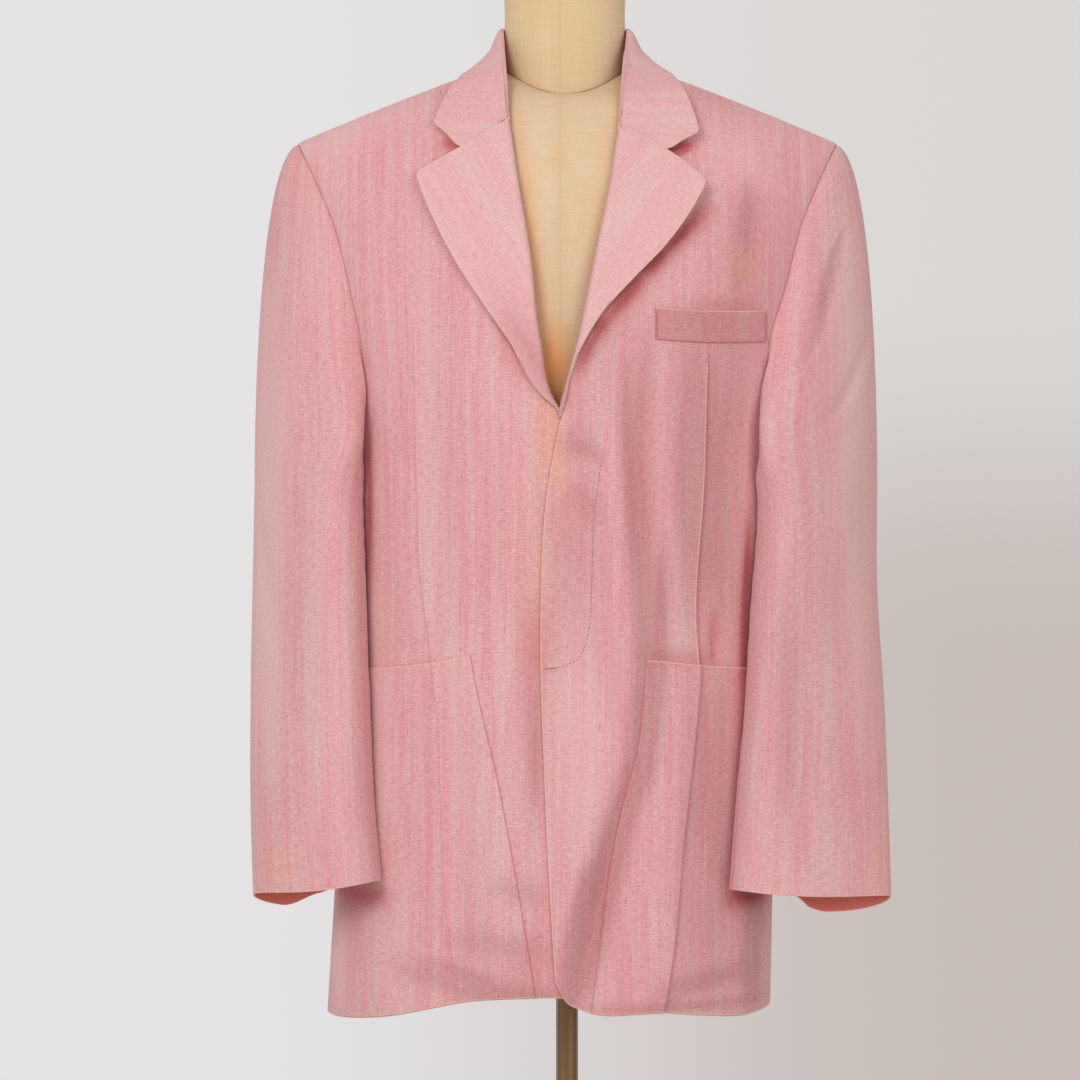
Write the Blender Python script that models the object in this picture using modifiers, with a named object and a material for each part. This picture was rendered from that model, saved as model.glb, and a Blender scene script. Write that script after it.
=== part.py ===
"""An oversized blazer with peaked notch lapels, worn by a limbless dress form on a stand.

Metres, +Z up.  The origin is on the floor under the pole.  The blazer faces -Y, so the
wearer's left is +X.  "right" and "left" in names are the wearer's.

The blazer's body is one smooth surface, read by an angle round it (0 in front, 90 degrees at
the wearer's left side seam, 180 at the centre back) and a level (0 at the hem, 1 at the
underarm, 2 on the shoulder line).  Panels are grids on that surface with Solidify behind them.
"""

import math
from collections import namedtuple

import bmesh
import bpy
import numpy as np

OBJECT = "oversized_blazer_on_dress_form"

# ---- Driving dimensions -------------------------------------------------------------------
SUITING = 0.0016  # one layer of suiting
TURNED = 0.0024  # collar and lapels, two layers turned and pressed
SEAM = 0.0004  # how far each edge stands back from its seam line
LAID_ON = 0.0005  # gap between a panel and what is sewn on it

UNDERARM = 1.088  # height of the underarm
SHOULDER_TOP = 1.436  # height the shoulder slope runs up to at the middle
SHOULDER_SLOPE = 0.345
SHOULDER_DROOP = 0.18
SHOULDER_REACH = 0.262  # half width of the surface at the shoulder line
SQUARENESS = 2.4  # of the body's rings
FRONT_ROUND = 2.2  # how square the body turns over the shoulder, in front
BACK_ROUND = 2.6
NECK_POINT = 0.062  # half width of the neck at the shoulder seam
BACK_NECK_DROP = 0.30  # how far down the back, in levels, the neck seam sits
HEM_BACK = 0.594

Ring = namedtuple("Ring", "z centre half front back")
BODY_RINGS = (
    Ring(0.590, -0.0160, 0.1900, 0.122, 0.128),
    Ring(0.690, -0.0120, 0.1880, 0.126, 0.128),
    Ring(0.800, -0.0080, 0.1860, 0.130, 0.127),
    Ring(0.920, -0.0040, 0.1860, 0.134, 0.125),
    Ring(1.020, -0.0010, 0.1920, 0.137, 0.126),
    Ring(1.088, 0.0000, 0.1985, 0.137, 0.128),
)

# Outlines seen from the front: x at each height.
Mark = namedtuple("Mark", "z x")
LEFT_EDGE = (
    Mark(0.600, -0.0090),
    Mark(0.700, -0.0152),
    Mark(0.800, -0.0200),
    Mark(0.930, -0.0233),
    Mark(1.033, -0.0185),
    Mark(1.112, -0.0070),
    Mark(1.166, 0.0075),
    Mark(1.238, 0.0225),
    Mark(1.305, 0.0360),
    Mark(1.350, 0.0430),
    Mark(1.385, 0.0510),
    Mark(1.420, 0.0620),
)
RIGHT_EDGE = (
    Mark(0.600, 0.0250),
    Mark(0.900, 0.0250),
    Mark(1.010, 0.0250),
    Mark(1.045, 0.0242),
    Mark(1.075, 0.0180),
    Mark(1.095, 0.0050),
    Mark(1.112, -0.0085),
    Mark(1.166, -0.0227),
    Mark(1.243, -0.0319),
    Mark(1.305, -0.0421),
    Mark(1.357, -0.0495),
    Mark(1.385, -0.0545),
    Mark(1.420, -0.0620),
)
POCKET_LINE = {
    "left": (
        Mark(0.600, 0.0180),
        Mark(0.766, 0.0432),
        Mark(0.833, 0.0599),
        Mark(0.902, 0.0657),
        Mark(1.050, 0.0680),
        Mark(1.250, 0.0800),
        Mark(1.400, 0.1050),
    ),
    "right": (
        Mark(0.600, -0.0240),
        Mark(0.700, -0.0402),
        Mark(0.792, -0.0569),
        Mark(0.904, -0.0819),
        Mark(1.050, -0.0840),
        Mark(1.250, -0.0880),
        Mark(1.400, -0.1080),
    ),
}
TUCK_LINE = {
    "left": (
        Mark(0.600, 0.0805),
        Mark(0.750, 0.0930),
        Mark(0.898, 0.1054),
        Mark(1.050, 0.1135),
        Mark(1.165, 0.1177),
        Mark(1.280, 0.1300),
        Mark(1.400, 0.1550),
    ),
    "right": (
        Mark(0.600, -0.0870),
        Mark(0.684, -0.1005),
        Mark(0.854, -0.1090),
        Mark(0.975, -0.1239),
        Mark(1.135, -0.1289),
        Mark(1.280, -0.1360),
        Mark(1.400, -0.1580),
    ),
}
TUCK_STEP = {"left": 0.0014, "right": 0.0006}
TUCK_TOP = {"left": 1.165, "right": 1.200}

# The hem's height at each x in front.
HemMark = namedtuple("HemMark", "x z")
HEM = {
    "left": (
        HemMark(-0.0120, 0.6300),
        HemMark(-0.0085, 0.6225),
        HemMark(-0.0020, 0.6135),
        HemMark(0.0070, 0.6080),
        HemMark(0.0180, 0.6045),
        HemMark(0.0800, 0.6035),
        HemMark(0.1200, 0.5990),
        HemMark(0.1500, 0.5965),
        HemMark(0.1800, 0.6000),
    ),
    "right": (
        HemMark(-0.2100, 0.5910),
        HemMark(-0.1800, 0.5945),
        HemMark(-0.1500, 0.5990),
        HemMark(-0.1160, 0.6070),
        HemMark(-0.0860, 0.6135),
        HemMark(-0.0570, 0.6160),
        HemMark(0.0300, 0.6165),
    ),
}
HEM_SIDE = {"left": 0.600, "right": 0.591}

# The armhole seam from the underarm up to the shoulder, as seen from the front or the back.
ArmMark = namedtuple("ArmMark", "x z")
ARMHOLE = {
    "front": (
        ArmMark(0.1983, 1.0881),
        ArmMark(0.1960, 1.0905),
        ArmMark(0.1900, 1.0960),
        ArmMark(0.1820, 1.1090),
        ArmMark(0.1752, 1.1350),
        ArmMark(0.1752, 1.1650),
        ArmMark(0.1835, 1.2050),
        ArmMark(0.1985, 1.2650),
        ArmMark(0.2180, 1.3110),
        ArmMark(0.2310, 1.3380),
        ArmMark(0.2350, 1.3460),
    ),
    "back": (
        ArmMark(0.1983, 1.0881),
        ArmMark(0.1960, 1.0905),
        ArmMark(0.1905, 1.0970),
        ArmMark(0.1845, 1.1150),
        ArmMark(0.1815, 1.1550),
        ArmMark(0.1835, 1.2000),
        ArmMark(0.1940, 1.2650),
        ArmMark(0.2120, 1.3120),
        ArmMark(0.2290, 1.3380),
        ArmMark(0.2350, 1.3460),
    ),
}
ARMHOLE_BEND = 3  # how close to the armhole the panel's rows start to turn along it

# Soft folds that hang in the body: a line from top to low end, its half width and its push.
Fold = namedtuple("Fold", "x_top z_top x_low z_low width depth")
FRONT_FOLDS = {
    "left": (
        Fold(0.052, 1.130, 0.040, 0.700, 0.014, -0.0035),
        Fold(0.028, 1.150, 0.004, 0.760, 0.016, 0.0025),
        Fold(0.086, 1.160, 0.082, 0.800, 0.013, -0.0025),
        Fold(0.070, 0.860, 0.030, 0.560, 0.016, 0.0040),
        Fold(0.118, 0.880, 0.108, 0.560, 0.020, -0.0030),
    ),
    "right": (
        Fold(-0.050, 1.100, -0.046, 0.720, 0.020, 0.0025),
        Fold(-0.092, 0.900, -0.074, 0.560, 0.022, -0.0025),
        Fold(-0.100, 1.200, -0.098, 0.880, 0.016, -0.0020),
        Fold(-0.140, 0.880, -0.150, 0.560, 0.020, 0.0020),
    ),
}
BACK_FOLDS = (
    Fold(-0.110, 1.250, -0.120, 0.560, 0.026, -0.0050),
    Fold(-0.060, 1.180, -0.066, 0.560, 0.024, 0.0040),
    Fold(0.022, 1.100, 0.030, 0.560, 0.026, -0.0040),
    Fold(0.086, 1.220, 0.092, 0.560, 0.024, 0.0035),
    Fold(0.128, 1.260, 0.132, 0.560, 0.020, -0.0045),
)
UNDERLAP_DIP = 0.0027  # how far the right front sinks where the left laps over it
UNDERLAP_START = 0.024

# Sleeves: rings below the biceps, for the wearer's left, mirrored for the right.
SleeveRing = namedtuple("SleeveRing", "z x y wide deep skew")
SLEEVE_RINGS = {
    "left": (
        SleeveRing(0.697, 0.2052, -0.0860, 0.0697, 0.0350, 0.0300),
        SleeveRing(0.770, 0.2075, -0.0735, 0.0665, 0.0420, 0.0350),
        SleeveRing(0.860, 0.2100, -0.0570, 0.0625, 0.0520, 0.0430),
        SleeveRing(0.960, 0.2102, -0.0360, 0.0585, 0.0665, 0.0470),
        SleeveRing(1.050, 0.2140, -0.0170, 0.0565, 0.0810, 0.0450),
    ),
    "right": (
        SleeveRing(0.697, 0.2120, -0.0820, 0.0555, 0.0430, 0.0300),
        SleeveRing(0.770, 0.2150, -0.0705, 0.0558, 0.0480, 0.0350),
        SleeveRing(0.860, 0.2172, -0.0545, 0.0553, 0.0560, 0.0430),
        SleeveRing(0.960, 0.2185, -0.0350, 0.0540, 0.0680, 0.0470),
        SleeveRing(1.050, 0.2195, -0.0170, 0.0525, 0.0815, 0.0450),
    ),
}
HIND_SHIFT = 16.0  # degrees
BICEPS = 1.050
CUFF = 0.697
CUFF_BACK_DROP = 0.0100
CUFF_INNER_RISE = 0.0075
CUFF_END_RISE = 0.0080
SLEEVE_CLEAR = 0.0032
SLEEVE_CLEAR_LOW = 0.0042  # past the patch pockets
SleeveFold = namedtuple("SleeveFold", "turn_top run_top turn_low run_low width depth")
SLEEVE_FOLDS = {
    "left": (
        SleeveFold(38, 0.30, 92, 0.52, 16, -0.0040),
        SleeveFold(20, 0.62, 88, 0.80, 14, -0.0030),
        SleeveFold(60, 0.84, 74, 1.25, 16, 0.0030),
    ),
    "right": (
        SleeveFold(48, 0.34, 58, 0.96, 13, 0.0030),
        SleeveFold(84, 0.50, 96, 1.00, 15, -0.0030),
        SleeveFold(30, 1.10, 70, 1.45, 18, -0.0025),
    ),
}

# Lapels and collar, seen from the front.
LapelMark = namedtuple("LapelMark", "share x z")
LAPEL_EDGE = {
    "left": (
        LapelMark(0.00, -0.0030, 1.1150),
        LapelMark(0.09, 0.0030, 1.1330),
        LapelMark(0.20, 0.0139, 1.1538),
        LapelMark(0.34, 0.0348, 1.1789),
        LapelMark(0.50, 0.0600, 1.2088),
        LapelMark(0.68, 0.0873, 1.2435),
        LapelMark(0.85, 0.1075, 1.2746),
        LapelMark(1.00, 0.1184, 1.3025),
    ),
    "right": (
        LapelMark(0.00, -0.0140, 1.1130),
        LapelMark(0.28, -0.0501, 1.1665),
        LapelMark(0.41, -0.0678, 1.1921),
        LapelMark(0.65, -0.0974, 1.2384),
        LapelMark(0.95, -0.1259, 1.3025),
        LapelMark(1.00, -0.1286, 1.3123),
    ),
}
GORGE_BOW = {"left": 0.0085, "right": 0.0020}
GORGE_TOP = {"left": 1.350, "right": 1.357}
NOTCH_SHARE = {"left": 0.55, "right": 0.52}
COLLAR_TIP = {"left": (0.1112, 1.3530), "right": (-0.1139, 1.3600)}
LAPEL_FOOT = 1.113
ROLL_START = 1.100
ROLL_SET = 0.0034  # the front's edge stands back this far behind the roll
LAPEL_LIFT = {"left": 0.0100, "right": 0.0060}
COLLAR_ROLL_TOP = 1.4455
COLLAR_ROLL_HALF = {"left": 0.0520, "right": 0.0555}
COLLAR_ROLL_BACK = 1.4480
COLLAR_EDGE_SHOULDER = 0.0850
COLLAR_EDGE_DROP = 0.37
FALL_HOLLOW = 0.0058

# Breast welt on the left front.
WELT_FROM = 0.0728
WELT_TO = 0.1680
WELT_LOW = 1.1670
WELT_TALL = 0.0268

# Dress form.
FORM_BOTTOM = 0.700
FormRing = namedtuple("FormRing", "z half front back")
FORM_RINGS = (
    FormRing(0.700, 0.1500, 0.094, 0.102),
    FormRing(0.780, 0.1560, 0.096, 0.104),
    FormRing(0.860, 0.1450, 0.090, 0.092),
    FormRing(0.940, 0.1180, 0.080, 0.076),
    FormRing(1.020, 0.1310, 0.094, 0.086),
    FormRing(1.100, 0.1480, 0.112, 0.098),
    FormRing(1.160, 0.1600, 0.114, 0.104),
)
FORM_SHOULDER_Z = 1.160  # above this the form's rings close in on the neck
NECK_HALF = 0.0525
NECK_X = -0.0018
NECK_DEEP = 0.0500
NECK_Y = 0.0120
NECK_SEAM_SIDE = 1.4080
NECK_SEAM_FRONT = 1.3830
NECK_SEAM_BACK = 1.4000
NECK_TOP = 1.4870
FORM_GAP = 0.0004  # between the form's shoulders and the cloth on them
FORM_CLEAR = 0.0035  # more than that in front of the shoulders and behind them
FORM_SIDES = 32

# Stand.
POLE_RADIUS = 0.0095
POLE_FLUTE = 0.0006
POLE_FLUTES = 12
BASE_RADIUS = 0.190
BASE_THICK = 0.014
HUB_RADIUS = 0.019
HUB_TOP = 0.060
FLANGE_RADIUS = 0.042
FLANGE_THICK = 0.005
FIT = 0.0003

PINK = (0.62, 0.32, 0.31, 1.0)
FORM_LINEN = (0.74, 0.56, 0.38, 1.0)
BRASS_BROWN = (0.23, 0.15, 0.08, 1.0)
SIGN = {"left": 1.0, "right": -1.0}


# ---- Reading tables and the body's surface ------------------------------------------------
def along(rows, place, name, key="z"):
    """A table's named column at any place, on a smooth curve through its rows."""
    keys = np.array([getattr(row, key) for row in rows])
    values = np.array([getattr(row, name) for row in rows])
    slopes = np.gradient(values, keys)
    place = np.clip(np.asarray(place, float), keys[0], keys[-1])
    low = np.clip(np.searchsorted(keys, place) - 1, 0, len(keys) - 2)
    span = keys[low + 1] - keys[low]
    t = (place - keys[low]) / span
    start = (1 + 2 * t) * (1 - t) ** 2 * values[low] + t * (1 - t) ** 2 * span * slopes[low]
    end = t * t * (3 - 2 * t) * values[low + 1] + t * t * (t - 1) * span * slopes[low + 1]
    return start + end


def ease(t):
    t = np.clip(t, 0, 1)
    return t * t * (3 - 2 * t)


def around(angle):
    """Sine and cosine of an angle in degrees, pushed out to the body's squarer ring."""
    s, c = np.sin(np.radians(angle)), np.cos(np.radians(angle))
    reach = (np.abs(s) ** SQUARENESS + np.abs(c) ** SQUARENESS) ** (1 / SQUARENESS)
    return s / reach, c / reach


def angle_from(sine):
    sine = np.clip(sine, -1, 1)
    cosine = (1 - np.abs(sine) ** SQUARENESS) ** (1 / SQUARENESS)
    return np.degrees(np.arctan2(sine, cosine))


def shoulder_height(x):
    across = np.sqrt(x * x + 0.0009)
    return SHOULDER_TOP - SHOULDER_SLOPE * across - SHOULDER_DROOP * x * x


def hem_height(side, angle):
    """The hem's height: as marked in front, eased to one height at the centre back."""
    turned = np.abs(angle)
    s, _ = around(np.minimum(turned, 90))
    foot = BODY_RINGS[0]
    x = foot.centre + SIGN[side] * foot.half * s
    x = np.where(SIGN[side] * angle < 0, foot.centre - SIGN[side] * foot.half * s, x)
    front = along(HEM[side], x, "z", key="x")
    back = HEM_SIDE[side] + (HEM_BACK - HEM_SIDE[side]) * ease((turned - 90) / 90)
    return np.where(turned <= 90, front, back)


def plain_surface(side, angle, level):
    """A point on the body before its folds."""
    angle, level = np.broadcast_arrays(np.asarray(angle, float), np.asarray(level, float))
    s, c = around(angle)
    rise = np.clip(level - 1, 0, 1)
    hem = hem_height(side, angle)
    z_low = hem + (UNDERARM - hem) * np.clip(level, 0, 1)
    half = along(BODY_RINGS, z_low, "half")
    x = along(BODY_RINGS, z_low, "centre") + (half + (SHOULDER_REACH - half) * rise) * s
    depth = np.where(c > 0, along(BODY_RINGS, z_low, "front"), along(BODY_RINGS, z_low, "back"))
    turn = np.where(c > 0, FRONT_ROUND, BACK_ROUND)
    up = np.sin(rise * math.pi / 2) ** (2 / turn)
    out = np.cos(rise * math.pi / 2) ** (2 / turn)
    z = z_low + (shoulder_height(x) - UNDERARM) * up
    return np.stack([x, -depth * c * out, z], axis=-1)


def hanging(folds, x, z):
    push = np.zeros(np.broadcast(x, z).shape)
    for fold in folds:
        run = (fold.z_top - z) / (fold.z_top - fold.z_low)
        line = fold.x_top + (fold.x_low - fold.x_top) * run
        fade = np.sin(math.pi * np.clip(run, 0, 1)) ** 0.7
        push += fold.depth * fade * np.exp(-(((x - line) / fold.width) ** 2))
    return push


def relief(side, angle, point):
    """How far folds, the tuck and the underlap move the surface along its normal."""
    x, z = point[..., 0], point[..., 2]
    sign = SIGN[side]
    to_tuck = sign * (along(TUCK_LINE[side], z, "x") - x)
    step = np.clip(0.5 + to_tuck / 0.0012, 0, 1) * np.exp(-np.clip(to_tuck, 0, 1) / 0.02)
    tuck = TUCK_STEP[side] * step * ease((TUCK_TOP[side] - z) / 0.03)
    fade = ease((88 - np.abs(angle)) / 30)
    front = hanging(FRONT_FOLDS[side], x, z) * fade + tuck
    from_edge = x - along(LEFT_EDGE, z, "x")
    if side == "right":
        over = hanging(FRONT_FOLDS["left"], x, z) * ease(from_edge / 0.02)
        dip = ease((from_edge + UNDERLAP_START) / (UNDERLAP_START - 0.004))
        dip = dip * ease((1.150 - z) / 0.03)
        front = front * (1 - dip) + (over - UNDERLAP_DIP) * dip
    else:
        front = front * ease(from_edge / 0.02)
    back = hanging(BACK_FOLDS, x, z) * ease((np.abs(angle) - 96) / 20)
    return np.where(np.abs(angle) < 90, front, back)


def surface(side, angle, level, lift=0.0):
    """A point on the body with its folds, moved out by lift."""
    angle, level = np.broadcast_arrays(np.asarray(angle, float), np.asarray(level, float))
    spread, climb = 0.05, 0.001
    point = plain_surface(side, angle, level)
    aside = plain_surface(side, angle + spread, level) - plain_surface(side, angle - spread, level)
    higher = plain_surface(side, angle, np.minimum(level + climb, 2))
    lower = plain_surface(side, angle, np.maximum(level - climb, 0))
    normal = np.cross(aside, higher - lower)
    normal /= np.linalg.norm(normal, axis=-1, keepdims=True)
    push = relief(side, angle, point) + lift
    return point + normal * push[..., None]


def front_place(x, z):
    """Angle and level of the place that is seen at x and z from the front, above the underarm."""
    share = np.clip((z - UNDERARM) / (shoulder_height(x) - UNDERARM), 0, 1)
    rise = np.arcsin(share ** (FRONT_ROUND / 2)) * 2 / math.pi
    half = BODY_RINGS[-1].half
    return angle_from(x / (half + (SHOULDER_REACH - half) * rise)), 1 + rise


def back_place(x, z):
    share = np.clip((z - UNDERARM) / (shoulder_height(x) - UNDERARM), 0, 1)
    rise = np.arcsin(share ** (BACK_ROUND / 2)) * 2 / math.pi
    half = BODY_RINGS[-1].half
    sine = x / (half + (SHOULDER_REACH - half) * rise)
    return np.where(x >= 0, 180, -180) - angle_from(sine), 1 + rise


def line_angle(side, level, marks):
    """The angle at which a line marked in front view crosses a level."""
    level = np.asarray(level, float)
    x = np.zeros_like(level)
    for _ in range(8):
        z = plain_surface(side, line_place(side, x, level), level)[..., 2]
        x = 0.5 * x + 0.5 * along(marks, z, "x")
    return line_place(side, x, level)


def line_place(side, x, level):
    rise = np.clip(level - 1, 0, 1)
    hem = along(HEM[side], x, "z", key="x")
    z = hem + (UNDERARM - hem) * np.clip(level, 0, 1)
    half = along(BODY_RINGS, z, "half")
    half = half + (SHOULDER_REACH - half) * rise
    return angle_from((x - along(BODY_RINGS, z, "centre")) / half)


def armhole(side, part, share):
    """Angle and level on the armhole seam, a share of its length up from the underarm."""
    marks = ARMHOLE[part]
    place = front_place if part == "front" else back_place
    steps = np.linspace(0, len(marks) - 1, 241)
    index = np.arange(len(marks))
    x = smooth_steps(index, [mark.x for mark in marks], steps) * SIGN[side]
    z = smooth_steps(index, [mark.z for mark in marks], steps)
    angle, level = place(x, z)
    path = plain_surface(side, angle, level)
    run = np.concatenate([[0], np.cumsum(np.linalg.norm(np.diff(path, axis=0), axis=1))])
    share = np.asarray(share, float) * run[-1]
    return np.interp(share, run, angle), np.interp(share, run, level)


def smooth_steps(keys, values, places):
    values = np.asarray(values, float)
    slopes = np.gradient(values, keys)
    low = np.clip(np.floor(places).astype(int), 0, len(values) - 2)
    t = places - low
    start = (1 + 2 * t) * (1 - t) ** 2 * values[low] + t * (1 - t) ** 2 * slopes[low]
    end = t * t * (3 - 2 * t) * values[low + 1] + t * t * (t - 1) * slopes[low + 1]
    return start + end


# ---- Blender objects ----------------------------------------------------------------------
def clear_scene():
    for item in list(bpy.data.objects):
        bpy.data.objects.remove(item)


def finish(name, colour, roughness, metallic=0.0):
    material = bpy.data.materials.new(name)
    material.use_nodes = True
    shader = material.node_tree.nodes["Principled BSDF"]
    shader.inputs["Base Color"].default_value = colour
    shader.inputs["Roughness"].default_value = roughness
    shader.inputs["Metallic"].default_value = metallic
    return material


def place_mesh(name, bm, material):
    mesh = bpy.data.meshes.new(name)
    bm.to_mesh(mesh)
    bm.free()
    mesh.shade_smooth()
    mesh.set_sharp_from_angle(angle=math.radians(50))
    mesh.materials.append(material)
    item = bpy.data.objects.new(name, mesh)
    bpy.data.collections[OBJECT].objects.link(item)
    return item


def cloth(name, grid, thickness, material, turned=False):
    """A wall of cloth: the grid is its outer face, with columns anticlockwise and rows upwards."""
    rows, columns = grid.shape[:2]
    bm = bmesh.new()
    points = [[bm.verts.new(grid[r, c]) for c in range(columns)] for r in range(rows)]
    for r in range(rows - 1):
        for c in range(columns - 1):
            corners = [points[r][c], points[r][c + 1], points[r + 1][c + 1], points[r + 1][c]]
            bm.faces.new(corners[::-1] if turned else corners)
    item = place_mesh(name, bm, material)
    wall = item.modifiers.new("wall", "SOLIDIFY")
    wall.thickness = thickness
    wall.offset = -1
    return item


def draw_back(grid, edge, gap=SEAM):
    """Moves one edge of a grid back from its seam line."""
    if edge in ("low", "high"):
        last, beside = (0, 1) if edge == "low" else (-1, -2)
        inward = grid[beside] - grid[last]
        grid[last] += gap * inward / np.linalg.norm(inward, axis=-1, keepdims=True)
    else:
        last, beside = (0, 1) if edge == "first" else (-1, -2)
        inward = grid[:, beside] - grid[:, last]
        grid[:, last] += gap * inward / np.linalg.norm(inward, axis=-1, keepdims=True)


# ---- Fronts and backs ---------------------------------------------------------------------
LOW_LEVELS = np.array([0.0, 0.035, 0.13, 0.25, 0.37, 0.49, 0.60, 0.70, 0.80, 0.90, 1.0])
POCKET_ROWS = 7  # the pocket's mouth lies on this many rows of the front
HIGH_SHARES = np.array([0.035, 0.075, 0.14, 0.25, 0.39, 0.53, 0.66, 0.77, 0.87, 0.95, 1.0])
TO_POCKET, TO_TUCK, TO_SIDE = 4, 3, 6  # columns between the front's marked lines


def edge_marks(side):
    """The front's own edge: above the break it stands back behind the roll."""
    marks = LEFT_EDGE if side == "left" else RIGHT_EDGE
    moved = []
    for mark in marks:
        hidden = ease((mark.z - ROLL_START) / 0.011) * ease((1.420 - mark.z) / 0.05)
        moved.append(Mark(mark.z, mark.x + SIGN[side] * ROLL_SET * float(hidden)))
    return tuple(moved)


def front_levels(side, shares):
    """Levels of the front's points: one row per level, bent along the armhole near it."""
    _, arm_level = armhole(side, "front", HIGH_SHARES)
    low = np.repeat(LOW_LEVELS[:, None], len(shares), axis=1)
    bend = shares[None, :] ** ARMHOLE_BEND
    high = (1 + HIGH_SHARES)[:, None] * (1 - bend) + arm_level[:, None] * bend
    return np.concatenate([low, high])


def front_angles(side, levels, shares, guide_columns):
    arm_angle, _ = armhole(side, "front", HIGH_SHARES)
    outer = np.concatenate([np.full(len(LOW_LEVELS), SIGN[side] * 90.0), arm_angle])
    lines = (edge_marks(side), POCKET_LINE[side], TUCK_LINE[side])
    known = [line_angle(side, levels[:, c], marks) for c, marks in zip(guide_columns, lines)]
    known.append(outer)
    places = shares[list(guide_columns) + [-1]]
    rows = [np.interp(shares, places, [angles[r] for angles in known]) for r in range(len(levels))]
    return np.array(rows)


def front_grid(side, lift=0.0):
    """Points of a front, with the tuck's two columns side by side."""
    columns = TO_POCKET + TO_TUCK + TO_SIDE
    shares = np.linspace(0, 1, columns + 1)
    levels = front_levels(side, shares)
    tuck = TO_POCKET + TO_TUCK
    angles = front_angles(side, levels, shares, (0, TO_POCKET, tuck))
    beside = SIGN[side] * 0.22  # degrees between the tuck's raised and lower columns
    angles = np.insert(angles, tuck, angles[:, tuck] - beside, axis=1)
    levels = np.insert(levels, tuck, levels[:, tuck], axis=1)
    return surface(side, angles, levels, lift)


def sewn_front(side, material):
    grid = front_grid(side)
    draw_back(grid, "last")
    draw_back(grid, "high")
    if side == "right":
        grid = grid[:, ::-1]
    cloth(f"front_{side}", grid, SUITING, material)


def back_grid(side):
    columns, to_neck = 10, 4
    shares = np.linspace(0, 1, columns + 1)
    arm_angle, arm_level = armhole(side, "back", HIGH_SHARES)
    half_turn = SIGN[side] * 180.0
    turn = np.clip(shares / shares[to_neck], 0, 1) * math.pi / 2
    past = np.clip((shares - shares[to_neck]) / (1 - shares[to_neck]), 0, 1)
    x = NECK_POINT * np.sin(turn) + (ARMHOLE["back"][-1].x - NECK_POINT) * past
    top_rise = 1 - BACK_NECK_DROP * np.cos(turn)
    half = BODY_RINGS[-1].half
    sine = x / (half + (SHOULDER_REACH - half) * top_rise)
    top_angle = half_turn - SIGN[side] * angle_from(sine)
    low_angle = half_turn + (SIGN[side] * 90.0 - half_turn) * shares
    bend = shares**ARMHOLE_BEND
    angles = [low_angle] * len(LOW_LEVELS)
    levels = [np.full(columns + 1, level) for level in LOW_LEVELS]
    for share, at_arm, arm_rise in zip(HIGH_SHARES, arm_angle, arm_level - 1):
        plain = low_angle + (top_angle - low_angle) * share
        angles.append(plain + (at_arm - plain[-1]) * bend)
        levels.append(1 + share * top_rise + (arm_rise - share) * bend)
    return surface(side, np.array(angles), np.array(levels))


def sewn_back(side, material):
    grid = back_grid(side)
    draw_back(grid, "first")
    draw_back(grid, "last")
    draw_back(grid, "high")
    if side == "left":
        grid = grid[:, ::-1]
    cloth(f"back_{side}", grid, SUITING, material)


# ---- Patch pockets and welt ---------------------------------------------------------------
def hip_pocket(side, material):
    """A patch pocket from its slanted front edge to the side seam, down to the hem."""
    grid = front_grid(side, SUITING + LAID_ON)[:POCKET_ROWS, TO_POCKET:]
    grid[0] += 0.04 * (grid[1] - grid[0])
    draw_back(grid, "last")
    if side == "right":
        grid = grid[:, ::-1]
    cloth(f"hip_pocket_{side}", grid, SUITING, material)


def front_point(side, x, z, lift):
    """The point seen at x and z from the front, at a height off the front's cloth."""
    x, z, lift = np.broadcast_arrays(np.asarray(x, float), z, lift)
    base_x, base_z = x, z
    for _ in range(6):
        angle, level = front_place(base_x, base_z)
        point = surface(side, angle, level, lift)
        base_x = base_x + x - point[..., 0]
        base_z = base_z + z - point[..., 2]
    return point


def breast_welt(material):
    x = np.linspace(WELT_FROM, WELT_TO, 8)[None, :]
    z = np.linspace(WELT_LOW, WELT_LOW + WELT_TALL, 3)[:, None]
    sag = 0.002 * np.sin(math.pi * (x - WELT_FROM) / (WELT_TO - WELT_FROM))
    x, z = np.broadcast_arrays(x + 0 * z, z - sag)
    grid = front_point("left", x, z, SUITING + LAID_ON + 0.0003)
    cloth("breast_welt", grid, SUITING, material)


# ---- Sleeves ------------------------------------------------------------------------------
CAP_SHARES = np.array([0.0, 0.06, 0.15, 0.28, 0.43, 0.60, 0.80, 1.0])
FOREARM_ROWS = 5
# Degrees round the sleeve, closer together where the armhole turns under the arm.
UPPER_TURNS = (-114, -99, -84.6, -73, -61.2, -41.4, -23.4, -9, 9, 23.4, 41.4, 61.2, 73, 84.6, 97,
               109.8, 122, 135, 144, 152)
UNDER_TURNS = (152, 160, 166.5, 173.7, 180, 186.3, 193.5, 205.2, 215, 225, 235.5, 246)


def hermite(start, leave, end, arrive, t):
    return (
        (1 + 2 * t) * (1 - t) ** 2 * start
        + t * (1 - t) ** 2 * leave
        + t * t * (3 - 2 * t) * end
        + t * t * (t - 1) * arrive
    )


def sleeve_ring(side, turn, z):
    """A point on a sleeve below the biceps; the cloth behind the arm is set further back."""
    rings = SLEEVE_RINGS[side]
    behind = np.sin(np.radians(2 * (turn - 180))) * ((turn > 180) & (turn < 270))
    turn = np.radians(turn + HIND_SHIFT * behind)
    x = along(rings, z, "x") + along(rings, z, "wide") * np.cos(turn)
    forward = along(rings, z, "skew") * np.cos(turn) * (1 + np.sin(turn)) / 2
    y = along(rings, z, "y") + forward - along(rings, z, "deep") * np.sin(turn)
    return np.stack(np.broadcast_arrays(SIGN[side] * x, y, z), axis=-1)


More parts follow.
